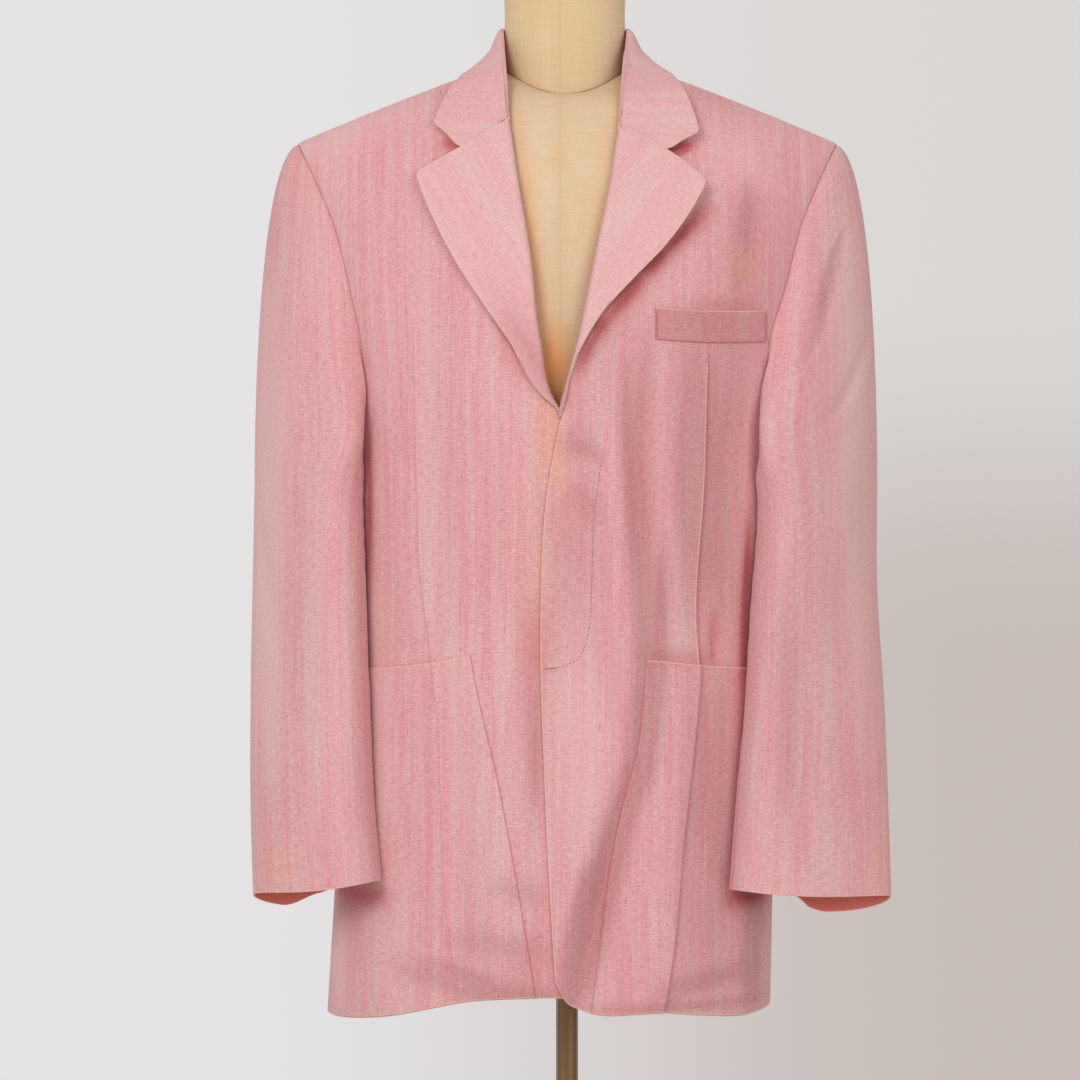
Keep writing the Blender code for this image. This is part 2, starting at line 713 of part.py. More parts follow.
def sleeve_start(side, turn):
    """The armhole, read round the sleeve: 0 at the shoulder, 90 in front, 180 underneath."""
    shares = np.concatenate([[0.0], HIGH_SHARES])
    front = surface(side, *armhole(side, "front", shares))
    back = surface(side, *armhole(side, "back", shares))
    loop = np.concatenate([front[::-1], back[1:]])
    turns = np.concatenate([180 - 180 * shares[::-1], 180 + 180 * shares[1:]])
    point = np.stack([np.interp(turn, turns, loop[:, axis]) for axis in range(3)], axis=-1)
    lapped = ease(-4 * np.cos(np.radians(turn)) - 2.2)  # 1 under the arm, over the side
    point[..., 0] += SIGN[side] * (1.4 * SEAM + 1.2 * SUITING * lapped)
    return point


def body_ring(x, y, z):
    """Half width and depth of the body's ring at a height, and how square it turns over there."""
    turn = np.where(y < 0, FRONT_ROUND, BACK_ROUND)
    share = np.clip((z - UNDERARM) / (shoulder_height(x) - UNDERARM), 0, 1)
    rise = np.arcsin(share ** (turn / 2)) * 2 / math.pi
    half = along(BODY_RINGS, z, "half")
    half = half + (SHOULDER_REACH - half) * rise
    depth = np.where(y < 0, along(BODY_RINGS, z, "front"), along(BODY_RINGS, z, "back"))
    return half, depth * np.cos(rise * math.pi / 2) ** (2 / turn)


def clear_of_side(points, clear):
    """Moves points out until they clear the body's own ring at their height."""
    x, y, z = points[..., 0], points[..., 1], points[..., 2]
    half, depth = body_ring(x, y, z)
    across = (x - along(BODY_RINGS, z, "centre")) / (half + clear)
    inside = np.abs(across) ** SQUARENESS + np.abs(y / (depth + clear)) ** SQUARENESS
    scale = np.where(inside < 1, inside ** (-1 / SQUARENESS), 1.0)
    moved = points.copy()
    moved[..., 0] = x + across * (half + clear) * (scale - 1)
    moved[..., 1] = y * scale
    return moved


def sleeve_creases(side, turn, run):
    push = np.zeros(np.broadcast(turn, run).shape)
    for fold in SLEEVE_FOLDS[side]:
        share = (run - fold.run_top) / (fold.run_low - fold.run_top)
        line = fold.turn_top + (fold.turn_low - fold.turn_top) * share
        fade = np.sin(math.pi * np.clip(share, 0, 1)) ** 0.7
        push += fold.depth * fade * np.exp(-(((turn - line) / fold.width) ** 2))
    return push


def sleeve_grid(side, turns):
    """Rows of points down a sleeve, from the armhole to the cuff."""
    turns = np.asarray(turns, float) % 360
    sign = SIGN[side]
    start = sleeve_start(side, turns)
    biceps = sleeve_ring(side, turns, np.full(turns.shape, BICEPS))
    fall = start[:, 2] - biceps[:, 2]
    swing, across = np.sin(np.radians(turns)), np.cos(np.radians(turns))
    low = ease(-across)  # 1 under the arm, where the cloth drops at once
    out, drop = 0.306 - 0.18 * low, 0.07 + 0.60 * low
    leave = np.stack([sign * out * fall, -0.12 * swing * fall, -drop * fall], axis=-1)
    arrive = np.stack([0 * fall, 0 * fall, -1.12 * fall], axis=-1)
    rows = [hermite(start, leave, biceps, arrive, t) for t in CAP_SHARES]
    for step in range(1, FOREARM_ROWS + 1):
        share = step / FOREARM_ROWS
        row = sleeve_ring(side, turns, np.full(turns.shape, BICEPS + (CUFF - BICEPS) * share))
        tilt = CUFF_BACK_DROP * swing + (CUFF_END_RISE * across - CUFF_INNER_RISE) * across
        row[:, 2] += tilt * share**2
        rows.append(row)
    grid = np.array(rows)
    run = np.concatenate([CAP_SHARES, 1 + np.arange(1, FOREARM_ROWS + 1) / FOREARM_ROWS])
    signed = np.where(turns > 180, turns - 360, turns)
    push = sleeve_creases(side, signed[None, :], run[:, None])
    middle = grid.mean(axis=1, keepdims=True)
    outward = grid - middle
    outward[..., 2] = 0
    outward /= np.linalg.norm(outward, axis=-1, keepdims=True)
    grid = grid + outward * push[..., None]
    lower = ease((0.96 - grid[..., 2]) / 0.05)
    clear = SLEEVE_CLEAR + (SLEEVE_CLEAR_LOW - SLEEVE_CLEAR) * lower
    clear = clear * (run > 0)[:, None]
    cleared = clear_of_side(grid, clear)
    near = (run > 0)[:, None] & (grid[..., 2] < 1.16)
    return np.where(near[..., None], cleared, grid)


def sewn_sleeve(side, material):
    for part, turns in (("upper", UPPER_TURNS), ("under", UNDER_TURNS)):
        grid = sleeve_grid(side, turns)
        draw_back(grid, "first", 2.3 * SEAM)
        draw_back(grid, "last", 2.3 * SEAM)
        cloth(f"{part}_sleeve_{side}", grid, SUITING, material, turned=side == "right")


# ---- Lapels and collar --------------------------------------------------------------------
def roll_line(side, z):
    return along(LEFT_EDGE if side == "left" else RIGHT_EDGE, z, "x")


def turned_lift(side, from_roll):
    """Height of the turned-back cloth's face, at a distance from the roll."""
    rounded = np.sqrt(1 - (1 - np.clip(from_roll / 0.005, 0, 1)) ** 2)
    return -0.0008 + (TURNED + 0.0026) * rounded + LAPEL_LIFT[side] * (from_roll / 0.078) ** 2


def gorge_point(side, share, x_end, z_end):
    """A place on the lapel's top edge, from the roll (0) to the tip (1), in front view."""
    z_roll = GORGE_TOP[side]
    x_roll = roll_line(side, z_roll)
    x = x_roll + (x_end - x_roll) * share
    z = z_roll + (z_end - z_roll) * share + GORGE_BOW[side] * 4 * share * (1 - share)
    return x, z


ACROSS = np.array([0.0, 0.03, 0.10, 0.26, 0.46, 0.66, 0.84, 1.0])
LAPEL_SHARES = np.array([0.0, 0.10, 0.21, 0.34, 0.50, 0.66, 0.81, 0.92, 1.0])


def lapel(side, material):
    """The facing turned back from the roll line, from just above the break to the gorge."""
    rows = []
    for share in LAPEL_SHARES:
        z_roll = LAPEL_FOOT + (GORGE_TOP[side] - LAPEL_FOOT) * share
        x_roll = roll_line(side, z_roll)
        x_edge = along(LAPEL_EDGE[side], share, "x", key="share")
        z_edge = along(LAPEL_EDGE[side], share, "z", key="share")
        x = x_roll + (x_edge - x_roll) * ACROSS
        z = z_roll + (z_edge - z_roll) * ACROSS
        z = z + GORGE_BOW[side] * 4 * ACROSS * (1 - ACROSS) * share**6
        rows.append(front_point(side, x, z, turned_lift(side, np.abs(x - x_roll))))
    grid = np.array(rows)
    draw_back(grid, "high", 2.3 * SEAM)
    if side == "right":
        grid = grid[:, ::-1]
    cloth(f"lapel_{side}", grid, TURNED, material)


def collar_station(side, place):
    """One line of points across the collar: 0 at the gorge, 0.5 at the shoulder, 1 at the back.

    Runs from the neck seam up the stand, over the roll and down the fall to the outer edge.
    """
    sign = SIGN[side]
    turn = math.pi / 2 * (1 - ease((place - 0.5) / 0.5)) if place > 0.5 else math.pi / 2
    outward = np.array([sign * math.sin(turn), math.cos(turn), 0.0])
    forward = max(0.0, 1 - place / 0.5)  # 1 at the gorge, 0 from the shoulder back
    z_gorge = GORGE_TOP[side]
    neck_z = z_gorge + (shoulder_height(NECK_POINT) - z_gorge) * (1 - forward)
    roll_x = roll_line(side, z_gorge)
    if place <= 0.5:
        edge_x = along(edge_marks(side), neck_z, "x")
        seam = front_point(side, edge_x - sign * (TURNED + 0.0006), min(neck_z, 1.4095), 0.0006)
        hidden = front_point(side, roll_x + sign * 0.0004, z_gorge, -0.0042)
        seam = seam + (hidden - seam) * float(ease((forward - 0.55) / 0.45))
        seam[2] += 0.0012 * (1 - forward)
        low = front_point(side, roll_x, z_gorge, 0.0)
        high = np.array([sign * COLLAR_ROLL_HALF[side], 0.004, COLLAR_ROLL_TOP])
        roll = low + (high - low) * (1 - forward)
        roll[1] -= 0.008 * math.sin(math.pi * forward)
        tip_x, tip_z = COLLAR_TIP[side]
        tip_angle, tip_level = front_place(tip_x, tip_z)
        end_x = sign * COLLAR_EDGE_SHOULDER + (tip_x - sign * COLLAR_EDGE_SHOULDER) * forward
        end_rise = 1 - (2 - tip_level) * forward
        lift = turned_lift(side, abs(tip_x - roll_x)) * forward + 0.0042 * (1 - forward)
        half = BODY_RINGS[-1].half
        end_angle = angle_from(end_x / (half + (SHOULDER_REACH - half) * end_rise))
        edge = surface(side, end_angle, 1 + end_rise, lift)
    else:
        neck_x = sign * NECK_POINT * math.sin(turn)
        rise = 1 - BACK_NECK_DROP * math.cos(turn)
        seam = back_point(side, neck_x, rise, 0.0006)
        seam[2] += 0.0016
        share = math.cos(turn)
        roll_x = sign * COLLAR_ROLL_HALF[side] * math.sin(turn)
        roll = np.array([roll_x, 0.004 + 0.0725 * share, 0.0])
        roll[2] = COLLAR_ROLL_TOP + (COLLAR_ROLL_BACK - COLLAR_ROLL_TOP) * share
        edge_x = sign * COLLAR_EDGE_SHOULDER * math.sin(turn)
        edge = back_point(side, edge_x, 1 - COLLAR_EDGE_DROP * share, 0.0042)
    return seam, roll, edge, outward


def back_point(side, x, rise, lift):
    half = BODY_RINGS[-1].half
    sine = x / (half + (SHOULDER_REACH - half) * rise)
    angle = SIGN[side] * (180 - abs(float(angle_from(sine))))
    return surface(side, angle, 1 + rise, lift)


FALL_SHARES = np.array([0.30, NOTCH_SHARE["right"], 0.78, 1.0])


def collar_line(side, place):
    seam, roll, edge, outward = collar_station(side, place)
    stand = roll - seam
    up = stand / np.linalg.norm(stand)
    bend = [roll + 0.0028 * outward - 0.0010 * up, roll + 0.0050 * outward - 0.0060 * up]
    inner = [seam, seam + 0.5 * stand, seam + 0.9 * stand - 0.0002 * outward]
    falls = []
    for share in FALL_SHARES:
        hollow = FALL_HOLLOW * math.sin(math.pi * share**0.75)
        falls.append(bend[1] + (edge - bend[1]) * share - hollow * (outward + up) / 2)
    end = max(0.0, 1 - place / 0.28) ** 1.5
    if end > 0:
        lapel_tip = LAPEL_EDGE[side][-1]
        tip_x, tip_z = COLLAR_TIP[side]
        roll_x = roll_line(side, GORGE_TOP[side])
        notch = gorge_point(side, NOTCH_SHARE[side], lapel_tip.x, lapel_tip.z)
        for index, share in enumerate(FALL_SHARES):
            if share <= FALL_SHARES[1]:
                along_gorge = share / FALL_SHARES[1] * NOTCH_SHARE[side]
                x, z = gorge_point(side, along_gorge, lapel_tip.x, lapel_tip.z)
            else:
                past = (share - FALL_SHARES[1]) / (1 - FALL_SHARES[1])
                x = notch[0] + (tip_x - notch[0]) * past
                z = notch[1] + (tip_z - notch[1]) * past
            flat = front_point(side, x, z, turned_lift(side, abs(x - roll_x)))
            falls[index] = falls[index] + (flat - falls[index]) * end
        curl = [front_point(side, roll_x + SIGN[side] * d, GORGE_TOP[side], turned_lift(side, d))
                for d in (0.0025, 0.006)]
        bend = [b + (c - b) * end for b, c in zip(bend, curl)]
    return np.array(inner + [roll] + bend + falls)


def over_body(points, clear):
    """Lifts points that would sink into the shoulders or the back."""
    x, y, z = points[..., 0], points[..., 1], points[..., 2]
    tall = shoulder_height(x) - UNDERARM
    share = np.clip((z - UNDERARM) / tall, 0, 1)
    turn = np.where(y < 0, FRONT_ROUND, BACK_ROUND)
    rise = np.arcsin(share ** (turn / 2)) * 2 / math.pi
    half = BODY_RINGS[-1].half + (SHOULDER_REACH - BODY_RINGS[-1].half) * rise
    wide = (1 - np.clip(np.abs(x) / half, 0, 1) ** SQUARENESS) ** (1 / SQUARENESS)
    depth = wide * np.where(y < 0, BODY_RINGS[-1].front, BODY_RINGS[-1].back)
    inside = (np.abs(y) / (depth + clear)) ** turn + ((z - UNDERARM) / (tall + clear)) ** turn
    scale = np.where(inside < 1, inside ** (-1 / turn), 1.0)
    moved = points.copy()
    moved[..., 1] = y * scale
    moved[..., 2] = UNDERARM + (z - UNDERARM) * scale
    return moved


def collar(material):
    places = np.array([0.0, 0.09, 0.2, 0.32, 0.42, 0.5, 0.6, 0.7, 0.8, 0.9, 1.0])
    left = [collar_line("left", place) for place in places]
    right = [collar_line("right", place) for place in places[:-1]]
    grid = np.array(right + left[::-1])
    grid[:, 4:] = over_body(grid[:, 4:], TURNED + 0.0021)
    draw_back(grid, "low", SEAM)
    draw_back(grid, "high", SEAM)
    cloth("collar", grid, TURNED, material, turned=True)


# ---- Dress form ---------------------------------------------------------------------------
def inner_height(x, y):
    """Height of the cloth's inner face over a place in plan, near the shoulders."""
    low = np.zeros_like(x)
    high = np.ones_like(x)
    turn = np.where(y < 0, FRONT_ROUND, BACK_ROUND)
    chest = BODY_RINGS[-1]
    for _ in range(30):
        rise = (low + high) / 2
        half = chest.half + (SHOULDER_REACH - chest.half) * rise
        wide = (1 - np.clip(np.abs(x) / half, 0, 1) ** SQUARENESS) ** (1 / SQUARENESS)
        depth = wide * np.where(y < 0, chest.front, chest.back)
        out = depth * np.cos(rise * math.pi / 2) ** (2 / turn)
        low = np.where(out > np.abs(y), rise, low)
        high = np.where(out > np.abs(y), high, rise)
    up = np.sin((low + high) / 2 * math.pi / 2) ** (2 / turn)
    return UNDERARM + (shoulder_height(x) - UNDERARM) * up


def under_cloth(x, y):
    """The height a form's point may reach: one layer and a small gap below the cloth."""
    step = 0.001
    height = inner_height(x, y)
    slope_x = (inner_height(x + step, y) - inner_height(x - step, y)) / (2 * step)
    slope_y = (inner_height(x, y + step) - inner_height(x, y - step)) / (2 * step)
    steep = np.sqrt(1 + slope_x**2 + slope_y**2)
    gap = FORM_GAP + FORM_CLEAR * ease((np.abs(y) - NECK_Y) / 0.03)
    return height - (SUITING + gap) * np.minimum(steep, 3)


def neck_seam(angles):
    s, c = np.sin(angles), np.cos(angles)
    ends = np.where(c > 0, NECK_SEAM_FRONT, NECK_SEAM_BACK)
    z = NECK_SEAM_SIDE + (ends - NECK_SEAM_SIDE) * c * c
    return np.stack([NECK_X + NECK_HALF * s, NECK_Y - NECK_DEEP * c, z], axis=-1)


def form_rings():
    """Closed rings up the form: round the torso, then closing in to the neck seam."""
    angles = np.arange(FORM_SIDES) * 2 * math.pi / FORM_SIDES
    degrees = np.degrees(angles)
    rings = []
    for z in np.linspace(FORM_BOTTOM, FORM_SHOULDER_Z, 9):
        s, c = around(degrees)
        depth = np.where(c > 0, along(FORM_RINGS, z, "front"), along(FORM_RINGS, z, "back"))
        x = along(FORM_RINGS, z, "half") * s
        rings.append(np.stack([x, -depth * c, np.full_like(x, z)], axis=-1))
    base = rings[-1]
    seam = neck_seam(angles)
    sides = np.sin(angles) ** 2
    square = 2.4 + 4.0 * sides**3
    for share in (0.14, 0.28, 0.42, 0.56, 0.68, 0.79, 0.89, 0.96, 1.0):
        out = np.cos(share * math.pi / 2) ** (2 / square)
        up = np.sin(share * math.pi / 2) ** (2 / square)
        plan = seam[:, :2] + (base[:, :2] - seam[:, :2]) * out[:, None]
        along_shoulder = np.linalg.norm(plan - seam[:, :2], axis=1)
        roof = seam[:, 2] - 0.40 * along_shoulder * sides
        z = FORM_SHOULDER_Z + (roof - FORM_SHOULDER_Z) * up
        if share < 1.0:
            z = np.minimum(z, under_cloth(plan[:, 0], plan[:, 1]))
        rings.append(np.column_stack([plan, z]))
    return rings


def closed_loft(name, rings, material, low_centre, high_centre):
    """A solid through closed rings, its ends closed to a centre point."""
    bm = bmesh.new()
    loops = [[bm.verts.new(point) for point in ring] for ring in rings]
    count = len(loops[0])
    for low, high in zip(loops, loops[1:]):
        for i in range(count):
            j = (i + 1) % count
            bm.faces.new([low[i], low[j], high[j], high[i]])
    bottom, top = bm.verts.new(low_centre), bm.verts.new(high_centre)
    for i in range(count):
        j = (i + 1) % count
        bm.faces.new([loops[0][j], loops[0][i], bottom])
        bm.faces.new([loops[-1][i], loops[-1][j], top])
    return place_mesh(name, bm, material)


def dress_form(material):
    rings = form_rings()
    seat = (NECK_X, NECK_Y, NECK_SEAM_BACK - 0.012)
    closed_loft("form_torso", rings, material, (0.0, 0.0, FORM_BOTTOM), seat)
    seam = rings[-1]
    neck = []
    for share, narrow in ((0.0, 1.0), (0.25, 0.975), (0.6, 0.965), (0.92, 0.975), (1.0, 0.91)):
        ring = seam.copy()
        middle = np.array([NECK_X, NECK_Y])
        ring[:, :2] = middle + (seam[:, :2] - middle) * narrow
        ring[:, 2] = seam[:, 2] + FIT + (NECK_TOP - seam[:, 2] - FIT) * share
        neck.append(ring)
    crown = (NECK_X, NECK_Y, NECK_TOP + 0.004)
    closed_loft("form_neck", neck, material, (NECK_X, NECK_Y, seat[2] + FIT), crown)


# ---- Stand --------------------------------------------------------------------------------
def turned_piece(name, profile, material):
    """A turned solid: its outer profile, top to bottom, from axis to axis."""
    bm = bmesh.new()
    points = [bm.verts.new((radius, 0.0, z)) for radius, z in profile]
    for start, end in zip(points, points[1:]):
        bm.edges.new([start, end])
    item = place_mesh(name, bm, material)
    turn = item.modifiers.new("turn", "SCREW")
    turn.steps = turn.render_steps = 48
    turn.use_merge_vertices = True
    turn.merge_threshold = 0.0001
    turn.use_smooth_shade = True
    return item


def fluted_pole(material):
    bm = bmesh.new()
    count = POLE_FLUTES * 2
    low_z = BASE_THICK + 0.010
    high_z = FORM_BOTTOM - FLANGE_THICK - 2 * FIT
    lower, upper = [], []
    for i in range(count):
        radius = POLE_RADIUS - (POLE_FLUTE if i % 2 else 0.0)
        angle = 2 * math.pi * i / count
        x, y = radius * math.cos(angle), radius * math.sin(angle)
        lower.append(bm.verts.new((x, y, low_z)))
        upper.append(bm.verts.new((x, y, high_z)))
    bm.faces.new(lower[::-1])
    bm.faces.new(upper)
    for i in range(count):
        j = (i + 1) % count
        bm.faces.new([lower[i], lower[j], upper[j], upper[i]])
    place_mesh("pole", bm, material)


def stand(material):
    fluted_pole(material)
    top = FORM_BOTTOM - FIT
    turned_piece(
        "form_flange",
        [
            (0.0, top),
            (FLANGE_RADIUS, top),
            (FLANGE_RADIUS, top - FLANGE_THICK + 0.001),
            (FLANGE_RADIUS - 0.001, top - FLANGE_THICK),
            (0.0, top - FLANGE_THICK),
        ],
        material,
    )
    inside = POLE_RADIUS + FIT
    floor = BASE_THICK + 0.010 - FIT
    turned_piece(
        "base",
        [
            (0.0, floor),
            (inside, floor),
            (inside, HUB_TOP),
            (HUB_RADIUS - 0.0015, HUB_TOP),
            (HUB_RADIUS, HUB_TOP - 0.0015),
            (HUB_RADIUS, 0.030),
            (HUB_RADIUS + 0.004, 0.024),
            (HUB_RADIUS + 0.012, 0.020),
            (BASE_RADIUS - 0.030, BASE_THICK),
            (BASE_RADIUS - 0.004, BASE_THICK - 0.003),
            (BASE_RADIUS, BASE_THICK - 0.007),
            (BASE_RADIUS, 0.0015),
            (BASE_RADIUS - 0.0015, 0.0),
            (0.0, 0.0),
        ],
        material,
    )


def build():
    clear_scene()
    bpy.context.scene.collection.children.link(bpy.data.collections.new(OBJECT))
    suiting = finish("suiting", PINK, 0.85)
    linen = finish("form_linen", FORM_LINEN, 0.9)
    brass = finish("brass", BRASS_BROWN, 0.35, 1.0)
    for side in ("right", "left"):
        sewn_front(side, suiting)
        sewn_back(side, suiting)
        hip_pocket(side, suiting)
        sewn_sleeve(side, suiting)
        lapel(side, suiting)
    breast_welt(suiting)
    collar(suiting)
    dress_form(linen)
    stand(brass)


build()
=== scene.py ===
"""An oversized pink blazer worn by a limbless dress form, on a fluted pole and a round foot.

Metres, +Z up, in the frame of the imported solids.  The blazer faces -Y; "right" and "left" are
the wearer's, so the wearer's left is +X.
"""

import math

import bpy
import numpy as np
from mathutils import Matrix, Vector


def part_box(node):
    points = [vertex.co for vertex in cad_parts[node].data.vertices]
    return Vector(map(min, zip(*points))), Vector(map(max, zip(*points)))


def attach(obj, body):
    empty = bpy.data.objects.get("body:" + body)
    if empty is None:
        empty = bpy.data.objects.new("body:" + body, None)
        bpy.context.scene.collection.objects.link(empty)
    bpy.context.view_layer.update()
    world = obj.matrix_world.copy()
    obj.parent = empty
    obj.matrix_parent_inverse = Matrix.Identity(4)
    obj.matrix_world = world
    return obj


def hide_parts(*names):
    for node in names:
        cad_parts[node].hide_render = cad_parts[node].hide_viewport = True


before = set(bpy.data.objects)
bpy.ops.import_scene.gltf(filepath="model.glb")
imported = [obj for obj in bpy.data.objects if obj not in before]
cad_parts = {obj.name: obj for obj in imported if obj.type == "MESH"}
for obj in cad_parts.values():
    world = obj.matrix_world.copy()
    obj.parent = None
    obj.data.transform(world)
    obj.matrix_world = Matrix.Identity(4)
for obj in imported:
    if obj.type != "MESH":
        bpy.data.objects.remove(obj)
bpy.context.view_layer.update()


# ==== Foot and flange ======================================================================
# A heavy round foot, cast and turned, with a hub that takes the pole, and the plate that the
# form is screwed to.  Both are steel with a brass-brown lacquer, worn thin in places.
class Value:
    """One output of a node, so that a pattern can be written as a sum."""

    def __init__(self, nodes, socket):
        self.nodes, self.socket = nodes, socket

    def __add__(self, other):
        return self.nodes.math("ADD", self, other)

    def __sub__(self, other):
        return self.nodes.math("SUBTRACT", self, other)

    def __rsub__(self, other):
        return self.nodes.math("SUBTRACT", other, self)

    def __mul__(self, other):
        return self.nodes.math("MULTIPLY", self, other)

    def __truediv__(self, other):
        return self.nodes.math("DIVIDE", self, other)

    __radd__, __rmul__ = __add__, __mul__


class Nodes:
    """A node tree being laid out, for a finish or for a repeated shape."""

    def __init__(self, tree):
        self.tree = tree

    def node(self, kind, settings=None, values=(), out=0):
        """Adds a node: its settings first, then the values or links of its sockets."""
        made = self.tree.nodes.new(kind)
        for name, setting in (settings or {}).items():
            setattr(made, name, setting)
        for key, value in values.items() if isinstance(values, dict) else enumerate(values):
            if isinstance(value, Value):
                self.tree.links.new(value.socket, made.inputs[key])
            else:
                made.inputs[key].default_value = value
        return Value(self, made.outputs[out])

    def math(self, operation, *values):
        return self.node("ShaderNodeMath", {"operation": operation}, values)

    def parts(self, vector):
        """The x, y and z of a vector."""
        split = self.node("ShaderNodeSeparateXYZ", {}, [vector])
        return [Value(self, output) for output in split.socket.node.outputs]

    def band(self, value, low, high):
        """0 below low, 1 above high, eased between."""
        settings = {"interpolation_type": "SMOOTHSTEP"}
        return self.node("ShaderNodeMapRange", settings, {0: value, 1: low, 2: high})

    def blend(self, share, low, high):
        """A colour between two others."""
        return self.node("ShaderNodeMix", {"data_type": "RGBA"}, {0: share, 6: low, 7: high}, out=2)


def tint(red, green, blue):
    """A colour as a dyer reads it, 0 to 255, made linear."""
    return (*[(c / 255) ** 2.2 for c in (red, green, blue)], 1.0)


class Finish(Nodes):
    """A material: a Principled shader whose fixed numbers sit on its own sockets."""

    def __init__(self, name, **fixed):
        self.material = bpy.data.materials.new(name)
        self.material.use_nodes = True
        super().__init__(self.material.node_tree)
        self.shader = self.tree.nodes["Principled BSDF"]
        for key, value in fixed.items():
            self.shader.inputs[key.replace("_", " ")].default_value = value

    def noise(self, place, size, detail=2.0, rough=0.5):
        """A soft random pattern; size is how many of its lumps fit in a metre, per axis."""
        scaled = self.node("ShaderNodeVectorMath", {"operation": "MULTIPLY"}, [place, size])
        values = {"Vector": scaled, "Scale": 1.0, "Detail": detail, "Roughness": rough}
        return self.node("ShaderNodeTexNoise", {}, values)

    def kept(self, name):
        """A number that a piece keeps at each of its points."""
        return self.node("ShaderNodeAttribute", {"attribute_name": name}, out=2)

    def over(self, colour, *layers):
        """A colour under thin layers of others, each a share and its red, green and blue."""
        for share, shade in layers:
            colour = self.blend(share, colour, tint(*shade))
        return colour

    def feed(self, bump=None, **links):
        """Links what varies into the shader, and a height in metres into its normal."""
        for key, value in links.items():
            self.tree.links.new(value.socket, self.shader.inputs[key.replace("_", " ")])
        if bump is not None:
            normal = self.node("ShaderNodeBump", {}, {"Distance": 1.0, "Height": bump})
            self.tree.links.new(normal.socket, self.shader.inputs["Normal"])
        return self.material


def brass_brown():
    finish = Finish("brass_brown_lacquer", Metallic=1.0, Coat_Roughness=0.18)
    place = finish.node("ShaderNodeTexCoord", out=3)
    cloud = finish.noise(place, (14, 14, 9), 4.0)
    drawn = finish.noise(place, (2600, 2600, 22))
    rubbed = finish.band(finish.noise(place, (60, 60, 30), 5.0, 0.65), 0.56, 0.70)
    colour = finish.over(tint(112, 88, 60), (cloud, (150, 122, 86)),
                         (rubbed * 0.28, (182, 154, 110)))
    rough = 0.27 + 0.16 * cloud + 0.10 * drawn - 0.06 * rubbed
    bump = drawn * 0.000012 + cloud * 0.00006
    return finish.feed(bump, Base_Color=colour, Roughness=rough, Coat_Weight=0.35 - 0.25 * rubbed)


def new_piece(name, points, faces, *materials):
    mesh = bpy.data.meshes.new(name)
    mesh.from_pydata(points, [], faces)
    for material in materials:
        mesh.materials.append(material)
    mesh.shade_smooth()
    piece = bpy.data.objects.new(name, mesh)
    bpy.context.scene.collection.objects.link(piece)
    return piece


def lofted(name, rings, material, low_centre, high_centre):
    """A solid through closed rings, anticlockwise and upwards, closed to a centre at each end."""
    count = len(rings[0])
    points = np.concatenate([*rings, [low_centre, high_centre]])
    step = np.arange(count)
    beside = (step + 1) % count
    faces = []
    for low in range(0, (len(rings) - 1) * count, count):
        high = low + count
        faces += np.stack([low + step, low + beside, high + beside, high + step], 1).tolist()
    bottom, top, last = len(points) - 2, len(points) - 1, (len(rings) - 1) * count
    faces += [[int(beside[i]), i, bottom] for i in range(count)]
    faces += [[last + i, last + int(beside[i]), top] for i in range(count)]
    return new_piece(name, points, faces, material)


def turned_piece(name, profile, material, sides=128):
    """A turned solid from its profile of (radius, height), bottom centre to top centre."""
    angle = np.arange(sides) * 2 * math.pi / sides
    rings = [np.column_stack([r * np.cos(angle), r * np.sin(angle), np.full(sides, z)])
             for r, z in profile]
    return lofted(name, rings, material, (0, 0, profile[0][1]), (0, 0, profile[-1][1]))


def fit(piece, slot, *nodes):
    """The piece stands for these solids, which are hidden, and stays put; slot is not used."""
    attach(piece, "root")
    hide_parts(*nodes)
    return piece


LACQUER = brass_brown()
SLIDE = 0.0003  # clearance between fitted metal pieces
FOOT_THICK, SHOULDER_HIGH, SHOULDER_WIDE = 0.014, 0.007, 0.030
HUB_RADIUS, HUB_WALL_EDGE, POLE_RADIUS = 0.019, 0.0006, 0.0095
# The hub's flared root: how far past its radius, at what height.
HUB_ROOT = ((0.0120, 0.0200), (0.0075, 0.0216), (0.0040, 0.0240), (0.0012, 0.0268), (0, 0.0300))
_, foot_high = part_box("base")
FOOT_RADIUS, HUB_TOP = foot_high.x, foot_high.z
BORE, BORE_FLOOR = POLE_RADIUS + SLIDE, 0.024 - SLIDE
PIN = 0.0004  # the first ring of a turned piece, round its closing centre
SOFT = 0.0004  # how far the middle of a rounded corner is set in


def eased_corner(radius, height, size, upwards):
    """The three points of a turned outer corner, at the bottom (upwards) or at the top."""
    if upwards:
        return [(radius - size, height), (radius - SOFT, height + SOFT), (radius, height + size)]
    return [(radius, height - size), (radius - SOFT, height - SOFT), (radius - size, height)]


foot_profile = [(PIN, 0.0), *eased_corner(FOOT_RADIUS, 0.0, 0.0015, True),
                (FOOT_RADIUS, FOOT_THICK - SHOULDER_HIGH)]
for turn in np.linspace(0.12, 1, 8) * math.pi / 2:  # the foot's rounded shoulder
    foot_profile.append((FOOT_RADIUS - SHOULDER_WIDE * (1 - math.cos(turn) ** 0.5),
                         FOOT_THICK - SHOULDER_HIGH * (1 - math.sin(turn))))
foot_profile += [(HUB_RADIUS + past, height) for past, height in HUB_ROOT]
foot_profile += eased_corner(HUB_RADIUS, HUB_TOP, 0.0015, False)
foot_profile += [(BORE + HUB_WALL_EDGE, HUB_TOP), (BORE, HUB_TOP - HUB_WALL_EDGE),
                 (BORE, BORE_FLOOR), (PIN, BORE_FLOOR)]
fit(turned_piece("foot", foot_profile, LACQUER), "brass", "base")

